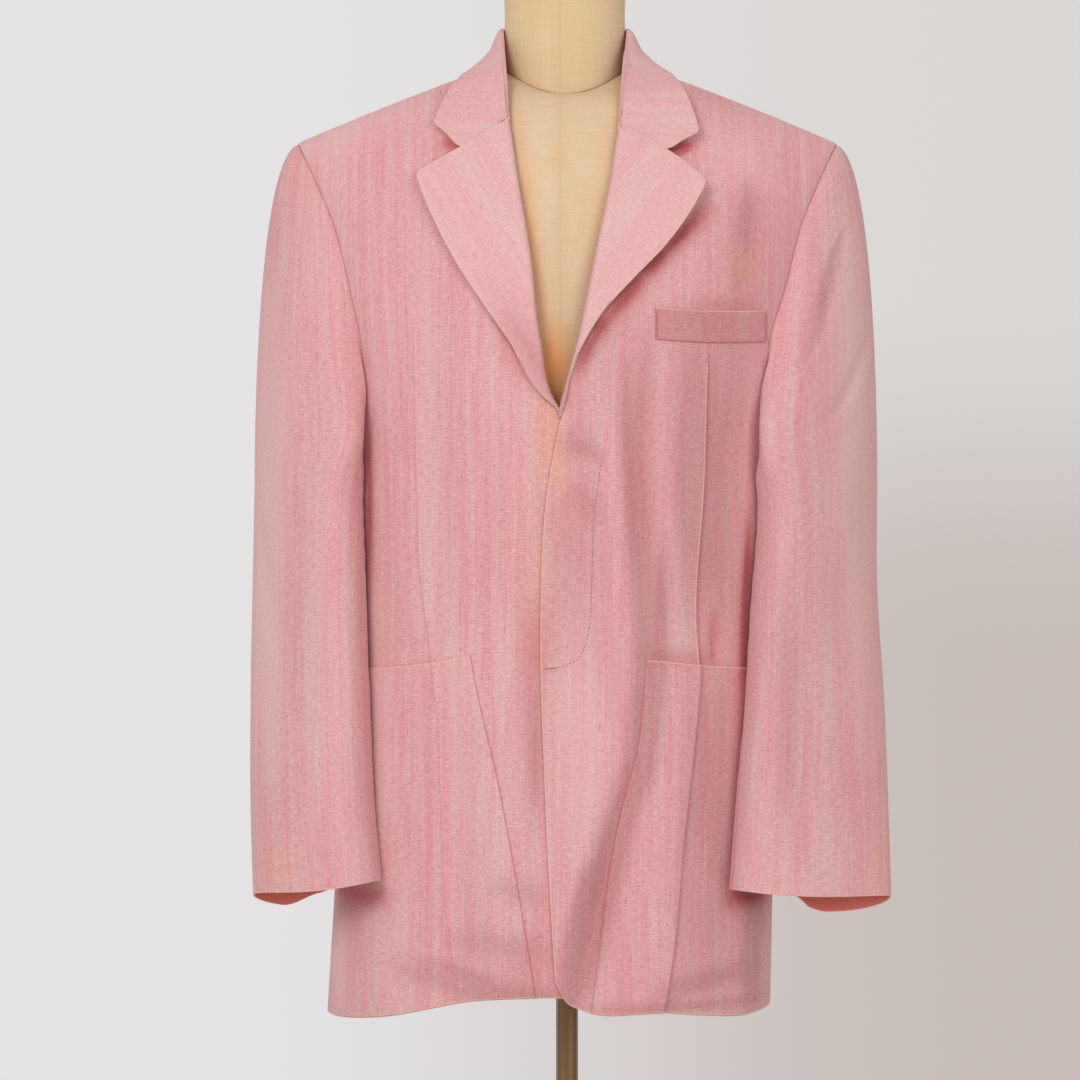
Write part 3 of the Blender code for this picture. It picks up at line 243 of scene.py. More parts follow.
TOP_BEVEL = 0.0003  # of the flange
flange_low, flange_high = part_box("form_flange")
flange_profile = [(PIN, flange_low.z), *eased_corner(flange_high.x, flange_low.z, 0.0012, True),
                  (flange_high.x, flange_high.z - TOP_BEVEL),
                  (flange_high.x - TOP_BEVEL, flange_high.z), (PIN, flange_high.z)]
fit(turned_piece("flange", flange_profile, LACQUER), "brass", "form_flange")


# ==== Pole =================================================================================
# A drawn steel tube with twelve rounded flutes down its length, in the same lacquer.  It
# stands in the foot's hub and carries the flange.
def made_by(name, layout, inputs, start=None):
    """Lays out a Geometry Nodes tree, runs it once and keeps the result as a plain mesh."""
    tree = bpy.data.node_groups.new(name, "GeometryNodeTree")
    tree.interface.new_socket("Start", in_out="INPUT", socket_type="NodeSocketGeometry")
    for label in inputs:
        tree.interface.new_socket(label, in_out="INPUT", socket_type="NodeSocketFloat")
    tree.interface.new_socket("Made", in_out="OUTPUT", socket_type="NodeSocketGeometry")
    nodes = Nodes(tree)
    given = tree.nodes.new("NodeGroupInput")
    result = layout(nodes, {s.name: Value(nodes, s) for s in given.outputs if s.name})
    out = tree.nodes.new("NodeGroupOutput")
    tree.links.new(result.socket, out.inputs[0])
    maker = bpy.data.objects.new(name, start or bpy.data.meshes.new(name))
    bpy.context.scene.collection.objects.link(maker)
    modifier = maker.modifiers.new("maker", "NODES")
    modifier.node_group = tree
    for item in tree.interface.items_tree:
        if item.name in inputs:
            modifier[item.identifier] = inputs[item.name]
    graph = bpy.context.evaluated_depsgraph_get()
    mesh = bpy.data.meshes.new_from_object(maker.evaluated_get(graph))
    bpy.data.objects.remove(maker)
    piece = bpy.data.objects.new(name, mesh)
    bpy.context.scene.collection.objects.link(piece)
    return piece


def finished(nodes, shape, material):
    """The end of a tree: instances made real, smooth, with their material."""
    real = nodes.node("GeometryNodeRealizeInstances", {}, [shape])
    smooth = nodes.node("GeometryNodeSetShadeSmooth", {}, {"Geometry": real})
    return nodes.node("GeometryNodeSetMaterial", {}, {"Geometry": smooth, "Material": material})


def fluted(nodes, given):
    """A round tube whose radius dips by the flute's depth between its arrises."""
    circle = nodes.node("GeometryNodeCurvePrimitiveCircle", {},
                        {"Resolution": 240, "Radius": given["Radius"]})
    place = nodes.node("GeometryNodeInputPosition")
    x, y, _ = nodes.parts(place)
    turn = nodes.math("ARCTAN2", y, x)
    dip = nodes.math("ABSOLUTE", nodes.math("SINE", turn * given["Flutes"] * 0.5))
    shrink = 1.0 - dip * given["Flute Depth"] / given["Radius"]
    moved = nodes.node("ShaderNodeVectorMath", {"operation": "SCALE"}, {0: place, 3: shrink})
    section = nodes.node("GeometryNodeSetPosition", {}, {"Geometry": circle, "Position": moved})
    ends = [nodes.node("ShaderNodeCombineXYZ", {}, {2: given[end]}) for end in ("Low", "High")]
    axis = nodes.node("GeometryNodeCurvePrimitiveLine", {}, {"Start": ends[0], "End": ends[1]})
    tube = nodes.node("GeometryNodeCurveToMesh", {}, {0: axis, "Profile Curve": section,
                                                      "Fill Caps": True})
    return finished(nodes, tube, LACQUER)


pole_low, pole_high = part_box("pole")
pole = made_by("pole_tube", fluted, {"Radius": pole_high.x, "Flute Depth": 0.0006, "Flutes": 12.0,
                                     "Low": pole_low.z, "High": pole_high.z})
pole.data.set_sharp_from_angle(angle=math.radians(35))
fit(pole, "brass", "pole")


# ==== Dress form ===========================================================================
# A limbless torso and a neck block, padded hard and covered in cream linen drawn tight, with a
# seam down the centre front and one round the neck.  Its shoulders carry the blazer.
def smooth_run(t, start, leave, end, arrive):
    """A smooth curve from start to end, t from 0 to 1, and how it leaves and arrives."""
    return ((1 + 2 * t) * (1 - t) ** 2 * start + t * (1 - t) ** 2 * leave
            + t * t * (3 - 2 * t) * end + t * t * (t - 1) * arrive)


def along(rows, place, column=1):
    """A table's column at any place, on a smooth curve through its rows."""
    rows = np.asarray(rows, float)
    keys, values = rows[:, 0], rows[:, column]
    slopes = np.gradient(values, keys)
    place = np.clip(np.asarray(place, float), keys[0], keys[-1])
    low = np.clip(np.searchsorted(keys, place) - 1, 0, len(keys) - 2)
    span = keys[low + 1] - keys[low]
    t = (place - keys[low]) / span
    return smooth_run(t, values[low], span * slopes[low], values[low + 1], span * slopes[low + 1])


def ease(t):
    """0 below 0, 1 above 1, eased between."""
    t = np.clip(t, 0, 1)
    return t * t * (3 - 2 * t)


SQUARENESS = 2.4  # of the blazer's and the form's rings
UNDERARM = 1.088
SHOULDER_REACH = 0.262  # half width of the blazer's surface at the shoulder line
FRONT_ROUND, BACK_ROUND = 2.2, 2.6  # of the turn over the shoulder, 2 being a circle's
CENTRE, HALF, FRONT, BACK = 1, 2, 3, 4  # columns of the blazer's rings, after their height
BODY_RINGS = ((0.590, -0.0160, 0.1900, 0.122, 0.128), (0.690, -0.0120, 0.1880, 0.126, 0.128),
              (0.800, -0.0080, 0.1860, 0.130, 0.127), (0.920, -0.0040, 0.1860, 0.134, 0.125),
              (1.020, -0.0010, 0.1920, 0.137, 0.126), (1.088, 0.0000, 0.1985, 0.137, 0.128))
CHEST_HALF, CHEST_FRONT, CHEST_BACK = BODY_RINGS[-1][HALF:]


def around(angle):
    """Sine and cosine of an angle in degrees, pushed out to the squarer ring."""
    s, c = np.sin(np.radians(angle)), np.cos(np.radians(angle))
    reach = (np.abs(s) ** SQUARENESS + np.abs(c) ** SQUARENESS) ** (1 / SQUARENESS)
    return s / reach, c / reach


def unit(vectors):
    """Vectors brought to a length of one."""
    return vectors / np.maximum(np.linalg.norm(vectors, axis=-1, keepdims=True), 1e-12)


def half_width(rise, half=CHEST_HALF):
    """Half width of the blazer, which grows from the underarm to the shoulder line."""
    return half + (SHOULDER_REACH - half) * rise


def squared(share):
    """What is left of a squarer ring's depth at a share of its half width."""
    return (1 - np.clip(np.abs(share), 0, 1) ** SQUARENESS) ** (1 / SQUARENESS)


def roundness(y):
    """How square the body turns over the shoulder, in front or behind."""
    return np.where(y < 0, FRONT_ROUND, BACK_ROUND)


def shoulder_height(x):
    return 1.436 - 0.345 * np.sqrt(x * x + 0.0009) - 0.18 * x * x


def rise_at(x, z, turn):
    """How far up from the underarm (0) to the shoulder line (1) a height lies."""
    share = np.clip((z - UNDERARM) / (shoulder_height(x) - UNDERARM), 0, 1)
    return np.arcsin(share ** (turn / 2)) * 2 / math.pi


def cloth_height(x, y):
    """Height of the blazer over a place in plan, near the shoulders."""
    turn, low, high = roundness(y), np.zeros_like(x), np.ones_like(x)
    for _ in range(30):
        rise = (low + high) / 2
        depth = squared(x / half_width(rise)) * np.where(y < 0, CHEST_FRONT, CHEST_BACK)
        under = depth * np.cos(rise * math.pi / 2) ** (2 / turn) > np.abs(y)
        low, high = np.where(under, rise, low), np.where(under, high, rise)
    up = np.sin((low + high) / 2 * math.pi / 2) ** (2 / turn)
    return UNDERARM + (shoulder_height(x) - UNDERARM) * up


SUITING = 0.0016  # one layer of the blazer's cloth
FORM_LOW, FORM_SHOULDER = 0.700, 1.160
FORM_RINGS = ((0.700, 0.1500, 0.094, 0.102), (0.780, 0.1560, 0.096, 0.104),
              (0.860, 0.1450, 0.090, 0.092), (0.940, 0.1180, 0.080, 0.076),
              (1.020, 0.1310, 0.094, 0.086), (1.100, 0.1480, 0.112, 0.098),
              (1.160, 0.1600, 0.114, 0.104))
NECK_HALF, NECK_DEEP, NECK_X, NECK_Y = 0.0525, 0.0500, -0.0018, 0.0120
NECK_SEAM_SIDE, NECK_SEAM_FRONT, NECK_SEAM_BACK, NECK_TOP = 1.4080, 1.3830, 1.4000, 1.4870
CROWN_EDGE, CROWN = 0.0015, 0.0040  # how far the block's top swells at its rim and middle
CENTRE_SEAM = -0.0065  # the centre front seam has been drawn a little off the middle
form_turn = np.arange(192) * 2 * math.pi / 192


def under_cloth(x, y):
    """The height that the form may reach: one layer and a small gap below the blazer."""
    step = 0.001
    height = cloth_height(x, y)
    slope_x = (cloth_height(x + step, y) - cloth_height(x - step, y)) / (2 * step)
    slope_y = (cloth_height(x, y + step) - cloth_height(x, y - step)) / (2 * step)
    gap = 0.0004 + 0.0035 * ease((np.abs(y) - NECK_Y) / 0.03)
    return height - (SUITING + gap) * np.minimum(np.sqrt(1 + slope_x**2 + slope_y**2), 3)


def form_rings():
    """Rings up the torso, then closing in to the neck seam, which dips in front."""
    s, c = around(np.degrees(form_turn))
    rings = []
    for z in np.linspace(FORM_LOW, FORM_SHOULDER, 48):
        depth = np.where(c > 0, along(FORM_RINGS, z, 2), along(FORM_RINGS, z, 3))
        rings.append(np.stack([along(FORM_RINGS, z) * s, -depth * c, np.full_like(s, z)], -1))
    base = rings[-1]
    s, c = np.sin(form_turn), np.cos(form_turn)
    ends = np.where(c > 0, NECK_SEAM_FRONT, NECK_SEAM_BACK)
    seam_z = NECK_SEAM_SIDE + (ends - NECK_SEAM_SIDE) * c * c
    seam = np.stack([NECK_X + NECK_HALF * s, NECK_Y - NECK_DEEP * c, seam_z], -1)
    sides = s**2
    square = 2.4 + 4.0 * sides**3
    for share in 1 - (1 - np.linspace(0.03, 1, 64)) ** 2.2:
        out = np.cos(min(share, 1) * math.pi / 2) ** (2 / square)
        up = np.sin(share * math.pi / 2) ** (2 / square)
        plan = seam[:, :2] + (base[:, :2] - seam[:, :2]) * np.where(share < 1, out, 0)[:, None]
        roof = seam_z - 0.40 * np.linalg.norm(plan - seam[:, :2], axis=1) * sides
        z = FORM_SHOULDER + (roof - FORM_SHOULDER) * up
        if share < 1:
            z = np.minimum(z, under_cloth(plan[:, 0], plan[:, 1]))
        rings.append(np.column_stack([plan, z]))
    return np.array(rings)


def hanging(folds, x, z):
    """The sum of soft lines, each strongest at its middle and gone at its ends."""
    push = np.zeros(np.broadcast(x, z).shape)
    for x_top, z_top, x_low, z_low, width, depth in folds:
        run_x, run_z = x_low - x_top, z_low - z_top
        length = math.hypot(run_x, run_z)
        run = ((x - x_top) * run_x + (z - z_top) * run_z) / length**2
        aside = ((x - x_top) * run_z - (z - z_top) * run_x) / length
        fade = np.sin(math.pi * np.clip(run, 0, 1)) ** 0.7
        push += depth * fade * np.exp(-((aside / width) ** 2))
    return push


def note(piece, name, values):
    """Keeps a number at every point of a piece, for its finish to read."""
    kept = piece.data.attributes.new(name, "FLOAT", "POINT")
    kept.data.foreach_set("value", np.asarray(values, np.float32).ravel())


def form_linen():
    """Cream linen: a plain weave, thicker yarns here and there, soiled at the seams, painted shade
    by the lapels.
    """
    finish = Finish("form_linen", Sheen_Weight=0.12, Sheen_Roughness=0.5)
    finish.shader.inputs["Specular IOR Level"].default_value = 0.25
    place = finish.node("ShaderNodeTexCoord", out=3)
    x, y, z = finish.parts(place)
    off_centre = finish.math("ABSOLUTE", x - CENTRE_SEAM)
    in_front = finish.band(y * -1.0, 0.0, 0.01)
    centre_line = (1.0 - finish.band(off_centre, 0.0003, 0.0020)) * in_front
    centre_soft = (1.0 - finish.band(off_centre, 0.0, 0.012)) * in_front
    seam = finish.kept("to_seam")
    seam_line = 1.0 - finish.band(seam, 0.0001, 0.0011)
    seam_soft = 1.0 - finish.band(seam, 0.0, 0.009)
    soil = finish.math("MAXIMUM", seam_soft * 0.16, centre_soft * 0.14)
    line = finish.math("MAXIMUM", seam_line * 0.20, centre_line * 0.06)
    yarn = finish.noise(place, (820, 820, 26), 2.0)
    pick = finish.noise(place, (30, 30, 900), 2.0)
    cloud = finish.noise(place, (11, 11, 7), 4.0, 0.6)
    fine = finish.noise(place, (1500, 1500, 1500), 1.0)
    spots = finish.band(finish.noise(place, (170, 170, 380), 3.0, 0.7), 0.70, 0.78)
    colour = finish.over(
        tint(219, 188, 149), (finish.band(cloud, 0.32, 0.68), (225, 200, 168)),
        (finish.band(z, 1.385, 1.44) * 0.55, (222, 193, 146)),
        (finish.band(yarn, 0.35, 0.75) * 0.30, (208, 176, 134)),
        (finish.band(pick, 0.40, 0.75) * 0.22, (243, 224, 196)),
        (fine * 0.16, (196, 164, 122)), (soil, (196, 160, 112)),
        (finish.kept("stained"), (232, 150, 86)), (line, (132, 100, 62)),
        (spots * 0.35, (158, 128, 92)))
    bump = yarn * 0.00016 + pick * 0.00016 + fine * 0.00006 - line * 0.0003
    return finish.feed(bump, Base_Color=colour, Roughness=0.86 + 0.1 * fine)


# Painted warm shade where the lapels shade the linen, orange-brown as light bounced off the pink
# cloth: x and z of two ends, half width, amount.
BESIDE_LAPELS = ((-0.0465, 1.390, -0.0110, 1.090, 0.0050, 0.40),
                 (0.0405, 1.390, 0.0040, 1.090, 0.0040, 0.20),
                 (-0.0120, 1.176, -0.0100, 1.090, 0.0140, 1.00))
LINEN = form_linen()
DRAWN_IN = 0.0003  # how far the linen is drawn in where it is sewn
torso_rings = form_rings()
seam_ring = torso_rings[-1].copy()
below_seam = np.linalg.norm(torso_rings - seam_ring, axis=-1)
middle = np.array([NECK_X, NECK_Y])
tuck_in = DRAWN_IN * np.exp(-(below_seam / 0.0016) ** 2)
torso_rings[..., :2] += unit(middle - torso_rings[..., :2]) * tuck_in[..., None]
seat = (NECK_X, NECK_Y, NECK_SEAM_BACK - 0.012)
torso = lofted("torso", torso_rings, LINEN, (0, 0, FORM_LOW), seat)
note(torso, "to_seam", np.append(below_seam, [0.5, 0.0]))
# Painted warm shade on the linen beside and under the lapels, in front only.
stained = hanging(BESIDE_LAPELS, torso_rings[..., 0], torso_rings[..., 2])
stained = stained * (torso_rings[..., 1] < 0)
note(torso, "stained", np.append(np.clip(stained, 0, 0.8), [0.0, 0.0]))
fit(torso, "form_linen", "form_torso")

NECK_NARROWS = ((0.0, 1.0), (0.25, 1.008), (0.6, 1.0), (0.92, 0.995), (1.0, 0.975))
neck_rings, above_seam = [], []
for share in np.concatenate([[0, 0.006, 0.014, 0.03], np.linspace(0.05, 0.97, 30)]):
    height = (NECK_TOP - seam_ring[:, 2] - SLIDE) * share
    pinch = DRAWN_IN * np.exp(-(height / 0.0018) ** 2)[:, None] / 0.05
    plan = middle + (seam_ring[:, :2] - middle) * (along(NECK_NARROWS, share) - pinch)
    neck_rings.append(np.column_stack([plan, seam_ring[:, 2] + SLIDE + height]))
    above_seam.append(height)
top_ring = neck_rings[-1]
for turn in np.linspace(0.15, 1, 7) * math.pi / 2:  # the block's rounded top
    plan = middle + (top_ring[:, :2] - middle) * (1 - 0.10 * (1 - math.cos(turn)))
    to_top = NECK_TOP + CROWN_EDGE - top_ring[:, 2]
    neck_rings.append(np.column_stack([plan, top_ring[:, 2] + to_top * math.sin(turn)]))
    above_seam.append(np.full(len(plan), 0.5))
crown = (NECK_X, NECK_Y, NECK_TOP + CROWN)
neck = lofted("neck_block", neck_rings, LINEN, (NECK_X, NECK_Y, seat[2] + SLIDE), crown)
note(neck, "to_seam", np.append(np.array(above_seam), [0.0, 0.5]))
fit(neck, "form_linen", "form_neck")


# ==== Fronts ===============================================================================
# Two fronts of a slubby plain weave, dyed unevenly so that it is streaked down the warp.  The
# left laps over the right and hides its buttons under a fly; each has one long pressed tuck.
SIGN = {"right": -1.0, "left": 1.0}  # of x on the wearer's two sides
# Lines down each front, as height and x: its edge, the pocket's front edge and the tuck.
FRONT_EDGE = {
    "left": ((0.600, -0.0090), (0.700, -0.0152), (0.800, -0.0200), (0.930, -0.0233),
             (1.033, -0.0185), (1.112, -0.0070), (1.166, 0.0075), (1.238, 0.0225),
             (1.305, 0.0360), (1.350, 0.0430), (1.385, 0.0510), (1.420, 0.0620)),
    "right": ((0.600, 0.0250), (0.900, 0.0250), (1.010, 0.0250), (1.045, 0.0242),
              (1.075, 0.0180), (1.095, 0.0050), (1.112, -0.0085), (1.166, -0.0227),
              (1.243, -0.0319), (1.305, -0.0421), (1.357, -0.0495), (1.385, -0.0545),
              (1.420, -0.0620)),
}
POCKET_LINE = {
    "left": ((0.600, 0.0180), (0.766, 0.0432), (0.833, 0.0599), (0.902, 0.0657),
             (1.050, 0.0680), (1.250, 0.0800), (1.400, 0.1050)),
    "right": ((0.600, -0.0240), (0.700, -0.0402), (0.792, -0.0569), (0.904, -0.0819),
              (1.050, -0.0840), (1.250, -0.0880), (1.400, -0.1080)),
}
TUCK_LINE = {
    "left": ((0.600, 0.0785), (0.640, 0.0848), (0.700, 0.0912), (0.742, 0.0942), (0.783, 0.0992),
             (0.833, 0.1050), (0.896, 0.1092), (0.925, 0.1070), (1.050, 0.1135),
             (1.165, 0.1177), (1.280, 0.1300), (1.400, 0.1550)),
    "right": ((0.600, -0.0870), (0.684, -0.1005), (0.854, -0.1090), (0.975, -0.1239),
              (1.135, -0.1289), (1.280, -0.1360), (1.400, -0.1580)),
}
TUCK_STEP = {"left": 0.0030, "right": 0.0007}
TUCK_FOLD = 0.0007  # how far across the pressed step takes to rise
UNDERLAP = 0.0027  # how far the right front lies under the left
TUCK_TOP = {"left": 1.165, "right": 1.200}
# The hem in front and the two halves of the armhole, as x and height.
HEM = {
    "left": ((-0.0120, 0.6300), (-0.0085, 0.6225), (-0.0020, 0.6135), (0.0070, 0.6080),
             (0.0180, 0.6045), (0.0800, 0.6035), (0.1200, 0.5990), (0.1500, 0.5965),
             (0.1800, 0.6000)),
    "right": ((-0.2100, 0.5910), (-0.1800, 0.5945), (-0.1500, 0.5990), (-0.1160, 0.6070),
              (-0.0860, 0.6135), (-0.0570, 0.6160), (0.0300, 0.6165)),
}
HEM_SIDE, HEM_BACK = {"left": 0.600, "right": 0.591}, 0.594
ARMHOLE = {
    "front": ((0.1983, 1.0881), (0.1960, 1.0905), (0.1900, 1.0960), (0.1820, 1.1090),
              (0.1752, 1.1350), (0.1752, 1.1650), (0.1835, 1.2050), (0.1985, 1.2650),
              (0.2180, 1.3110), (0.2310, 1.3380), (0.2350, 1.3460)),
    "back": ((0.1983, 1.0881), (0.1960, 1.0905), (0.1905, 1.0970), (0.1845, 1.1150),
             (0.1815, 1.1550), (0.1835, 1.2000), (0.1940, 1.2650), (0.2120, 1.3120),
             (0.2290, 1.3380), (0.2350, 1.3460)),
}
PULLED_IN = 0.0050  # the front of the left armhole
# Soft folds: x and z where one starts, x and z where it ends, half width, push.
FRONT_FOLDS = {
    "left": ((0.050, 1.155, 0.068, 0.895, 0.0085, -0.0070),
             (0.034, 1.140, 0.048, 0.860, 0.0100, 0.0036),
             (0.080, 1.160, 0.088, 0.900, 0.0090, 0.0034),
             (0.082, 1.010, 0.077, 0.900, 0.0060, -0.0036),
             (0.006, 1.080, 0.030, 1.060, 0.0060, -0.0030),
             (0.004, 1.045, 0.028, 1.010, 0.0070, -0.0028),
             (0.058, 0.815, 0.001, 0.585, 0.0120, -0.0095),
             (0.030, 0.840, -0.012, 0.640, 0.0140, 0.0040),
             (0.078, 0.925, 0.054, 0.770, 0.0100, -0.0050),
             (0.086, 0.800, 0.064, 0.600, 0.0160, 0.0036),
             (0.123, 0.945, 0.121, 0.890, 0.0040, -0.0022),
             (0.136, 0.900, 0.128, 0.590, 0.0140, -0.0034)),
    "right": ((-0.050, 1.100, -0.046, 0.720, 0.020, 0.0020),
              (-0.034, 0.960, -0.026, 0.740, 0.0100, -0.0030),
              (-0.092, 0.900, -0.074, 0.590, 0.0140, -0.0022),
              (-0.112, 0.880, -0.104, 0.640, 0.0090, 0.0016),
              (-0.100, 1.200, -0.098, 0.880, 0.016, -0.0018),
              (-0.128, 0.650, -0.058, 0.628, 0.0050, -0.0018),
              (-0.110, 0.636, -0.066, 0.618, 0.0045, 0.0016),
              (-0.150, 0.900, -0.160, 0.590, 0.016, 0.0022)),
}
BACK_FOLDS = ((-0.110, 1.270, -0.120, 0.540, 0.0220, -0.0070),
              (-0.066, 1.200, -0.074, 0.540, 0.0200, 0.0050),
              (0.022, 1.130, 0.030, 0.540, 0.0220, -0.0055),
              (0.084, 1.240, 0.092, 0.540, 0.0200, 0.0050),
              (0.126, 1.280, 0.134, 0.540, 0.0160, -0.0060),
              (-0.030, 0.980, -0.022, 0.540, 0.0160, 0.0030),
              (0.150, 1.130, 0.060, 1.060, 0.0100, -0.0026),
              (-0.150, 1.140, -0.050, 1.075, 0.0110, -0.0024))
ROLL_START, ROLL_SET = 1.100, 0.0034  # above the break the edge stands back behind the roll


def angle_from(sine):
    """The angle round the body, in degrees, at a share of its half width."""
    sine = np.clip(sine, -1, 1)
    return np.degrees(np.arctan2(sine, squared(sine)))


def hem_height(side, angle):
    """As marked in front, eased to one height at the centre back."""
    turned = np.abs(angle)
    s, _ = around(np.minimum(turned, 90))
    x = BODY_RINGS[0][CENTRE] + BODY_RINGS[0][HALF] * np.sign(angle) * s
    back = HEM_SIDE[side] + (HEM_BACK - HEM_SIDE[side]) * ease((turned - 90) / 90)
    return np.where(turned <= 90, along(HEM[side], x), back)


def ring_depth(in_front, z):
    """Depth of the blazer's ring at a height, ahead of its sides or behind them."""
    return np.where(in_front, along(BODY_RINGS, z, FRONT), along(BODY_RINGS, z, BACK))


def plain_surface(side, angle, level):
    """A point on the body before its folds.  Angle: 0 in front, 90 at the wearer's left side,
    180 behind.  Level: 0 at the hem, 1 at the underarm, 2 on the shoulder line."""
    angle, level = np.broadcast_arrays(np.asarray(angle, float), np.asarray(level, float))
    s, c = around(angle)
    rise = np.clip(level - 1, 0, 1)
    hem = hem_height(side, angle)
    z_low = hem + (UNDERARM - hem) * np.clip(level, 0, 1)
    half = half_width(rise, along(BODY_RINGS, z_low, HALF))
    x = along(BODY_RINGS, z_low, CENTRE) + half * s
    power = 2 / roundness(-c)
    y = -ring_depth(c > 0, z_low) * c * np.cos(rise * math.pi / 2) ** power
    z = z_low + (shoulder_height(x) - UNDERARM) * np.sin(rise * math.pi / 2) ** power
    return np.stack([x, y, z], axis=-1)


def relief(side, angle, point):
    """How far folds, the tuck and the underlap move the body along its normal."""
    x, z = point[..., 0], point[..., 2]
    to_tuck = SIGN[side] * (along(TUCK_LINE[side], z) - x)
    step = np.clip(0.5 + to_tuck / TUCK_FOLD, 0, 1) * np.exp(-np.clip(to_tuck, 0, 1) / 0.02)
    tuck = TUCK_STEP[side] * step * ease((TUCK_TOP[side] - z) / 0.03)
    front = hanging(FRONT_FOLDS[side], x, z) * ease((88 - np.abs(angle)) / 30) + tuck
    from_edge = x - along(FRONT_EDGE["left"], z)
    if side == "right":
        over = hanging(FRONT_FOLDS["left"], x, z) * ease(from_edge / 0.02)
        dip = ease((from_edge + 0.024) / 0.020) * ease((1.150 - z) / 0.03)
        front = front * (1 - dip) + (over - UNDERLAP) * dip
    else:
        front = front * ease(from_edge / 0.02)
    back = hanging(BACK_FOLDS, x, z) * ease((np.abs(angle) - 96) / 20)
    return np.where(np.abs(angle) < 90, front, back)


def surface(side, angle, level, lift=0.0):
    """A point on the body with its folds, moved out by lift."""
    angle, level = np.broadcast_arrays(np.asarray(angle, float), np.asarray(level, float))
    spread, climb = 0.05, 0.001
    point = plain_surface(side, angle, level)
    aside = plain_surface(side, angle + spread, level) - plain_surface(side, angle - spread, level)
    higher = plain_surface(side, angle, np.minimum(level + climb, 2))
    lower = plain_surface(side, angle, np.maximum(level - climb, 0))
    return point + unit(np.cross(aside, higher - lower)) * (
        relief(side, angle, point) + lift)[..., None]


def front_place(x, z):
    """Angle and level of what is seen at x and z from the front, above the underarm."""
    rise = rise_at(x, z, FRONT_ROUND)
    return angle_from(x / half_width(rise)), 1 + rise


def low_place(side, x, z):
    """The same below the underarm, where heights are shared out from the hem."""
    hem = along(HEM[side], x)
    half = along(BODY_RINGS, z, HALF)
    return angle_from((x - along(BODY_RINGS, z, CENTRE)) / half), (z - hem) / (UNDERARM - hem)


def back_place(x, z):
    """Angle and level of what is seen at x and z from behind, above the underarm."""
    rise = rise_at(x, z, BACK_ROUND)
    return np.where(x >= 0, 180, -180) - angle_from(x / half_width(rise)), 1 + rise


def line_angle(side, level, marks):
    """The angle at which a line marked in front view crosses a level."""
    def place(x):
        hem = along(HEM[side], x)
        z = hem + (UNDERARM - hem) * np.clip(level, 0, 1)
        half = half_width(np.clip(level - 1, 0, 1), along(BODY_RINGS, z, HALF))
        return angle_from((x - along(BODY_RINGS, z, CENTRE)) / half)

    x = np.zeros_like(level)
    for _ in range(14):
        z = plain_surface(side, place(x), level)[..., 2]
        x = 0.5 * x + 0.5 * along(marks, z)
    return place(x)


def armhole(side, part, share):
    """Angle and level on the armhole seam, a share of its length up from the underarm."""
    index = np.arange(len(ARMHOLE[part]))
    steps = np.linspace(0, index[-1], 961)
    marks = np.column_stack([index, ARMHOLE[part]])
    x, z = along(marks, steps, 1), along(marks, steps, 2)
    if side == "left" and part == "front":  # this one was pulled in as it was set on the form
        x = x - PULLED_IN * ease((z - 1.092) / 0.03) * ease((1.230 - z) / 0.07)
    x = x * SIGN[side]
    angle, level = (front_place if part == "front" else back_place)(x, z)
    path = plain_surface(side, angle, level)
    run = np.concatenate([[0], np.cumsum(np.linalg.norm(np.diff(path, axis=0), axis=1))])
    share = np.asarray(share, float) * run[-1]
    return np.interp(share, run, angle), np.interp(share, run, level)


LOW_LEVELS = np.linspace(0, 1, 131)
HIGH_SHARES = np.linspace(0, 1, 89)[1:]
COLUMNS = 78  # between the front edge and the side seam
AT_POCKET, AT_TUCK = 24, 42
BESIDE_TUCK = np.array([0.34, 0.20, 0.13, 0.07, -0.07, -0.13])  # degrees, for its sharp fold


def behind_roll(z):
    """1 where the front's edge stands back, behind the roll of the lapel and the collar."""
    return ease((z - ROLL_START) / 0.011) * ease((1.420 - z) / 0.05)


def front_grid(side, lift=0.0, levels=LOW_LEVELS, shares=HIGH_SHARES):
    """Points of a front, rows upwards and columns from its edge to the side seam."""
    edge = [(z, x + SIGN[side] * ROLL_SET * float(behind_roll(z))) for z, x in FRONT_EDGE[side]]
    column = np.linspace(0, 1, COLUMNS + 1)
    arm_angle, arm_level = armhole(side, "front", shares)
    bend = column**3
    high = (1 + shares)[:, None] * (1 - bend) + arm_level[:, None] * bend
    level = np.concatenate([np.repeat(levels[:, None], COLUMNS + 1, 1), high])
    outer = np.concatenate([np.full(len(levels), SIGN[side] * 90.0), arm_angle])
    guides = (0, AT_POCKET, AT_TUCK, COLUMNS)
    lines = (edge, POCKET_LINE[side], TUCK_LINE[side])
    known = [line_angle(side, level[:, c], marks) for c, marks in zip(guides, lines)] + [outer]
    angle = np.array([np.interp(column, column[list(guides)], row) for row in zip(*known)])
    crowded = np.repeat(np.arange(COLUMNS + 1), np.where(column == column[AT_TUCK], 6, 1))
    angle, level = angle[:, crowded], level[:, crowded]
    angle[:, AT_TUCK:AT_TUCK + 6] -= SIGN[side] * BESIDE_TUCK
    return surface(side, angle, level, lift)


# A cloth is an array of rows and columns; each point holds its place, its place on the flat
# cut (across and along the grain) and its distance from a finished edge and from a seam.
ACROSS, ALONG, TO_EDGE, TO_SEAM = 3, 4, 5, 6
FAR = 0.09  # from an edge or a seam, where a finish reads none
SIDES = {"first": (False, False), "last": (False, True), "low": (True, False), "high": (True, True)}


def from_side(cloth, side):
    """The cloth turned so that the named edge is its first column."""
    swap, flip = SIDES[side]
    cloth = cloth.swapaxes(0, 1) if swap else cloth
    return cloth[:, ::-1] if flip else cloth


def back_again(cloth, side):
    """The same cloth turned back."""
    swap, flip = SIDES[side]
    cloth = cloth[:, ::-1] if flip else cloth
    return cloth.swapaxes(0, 1) if swap else cloth


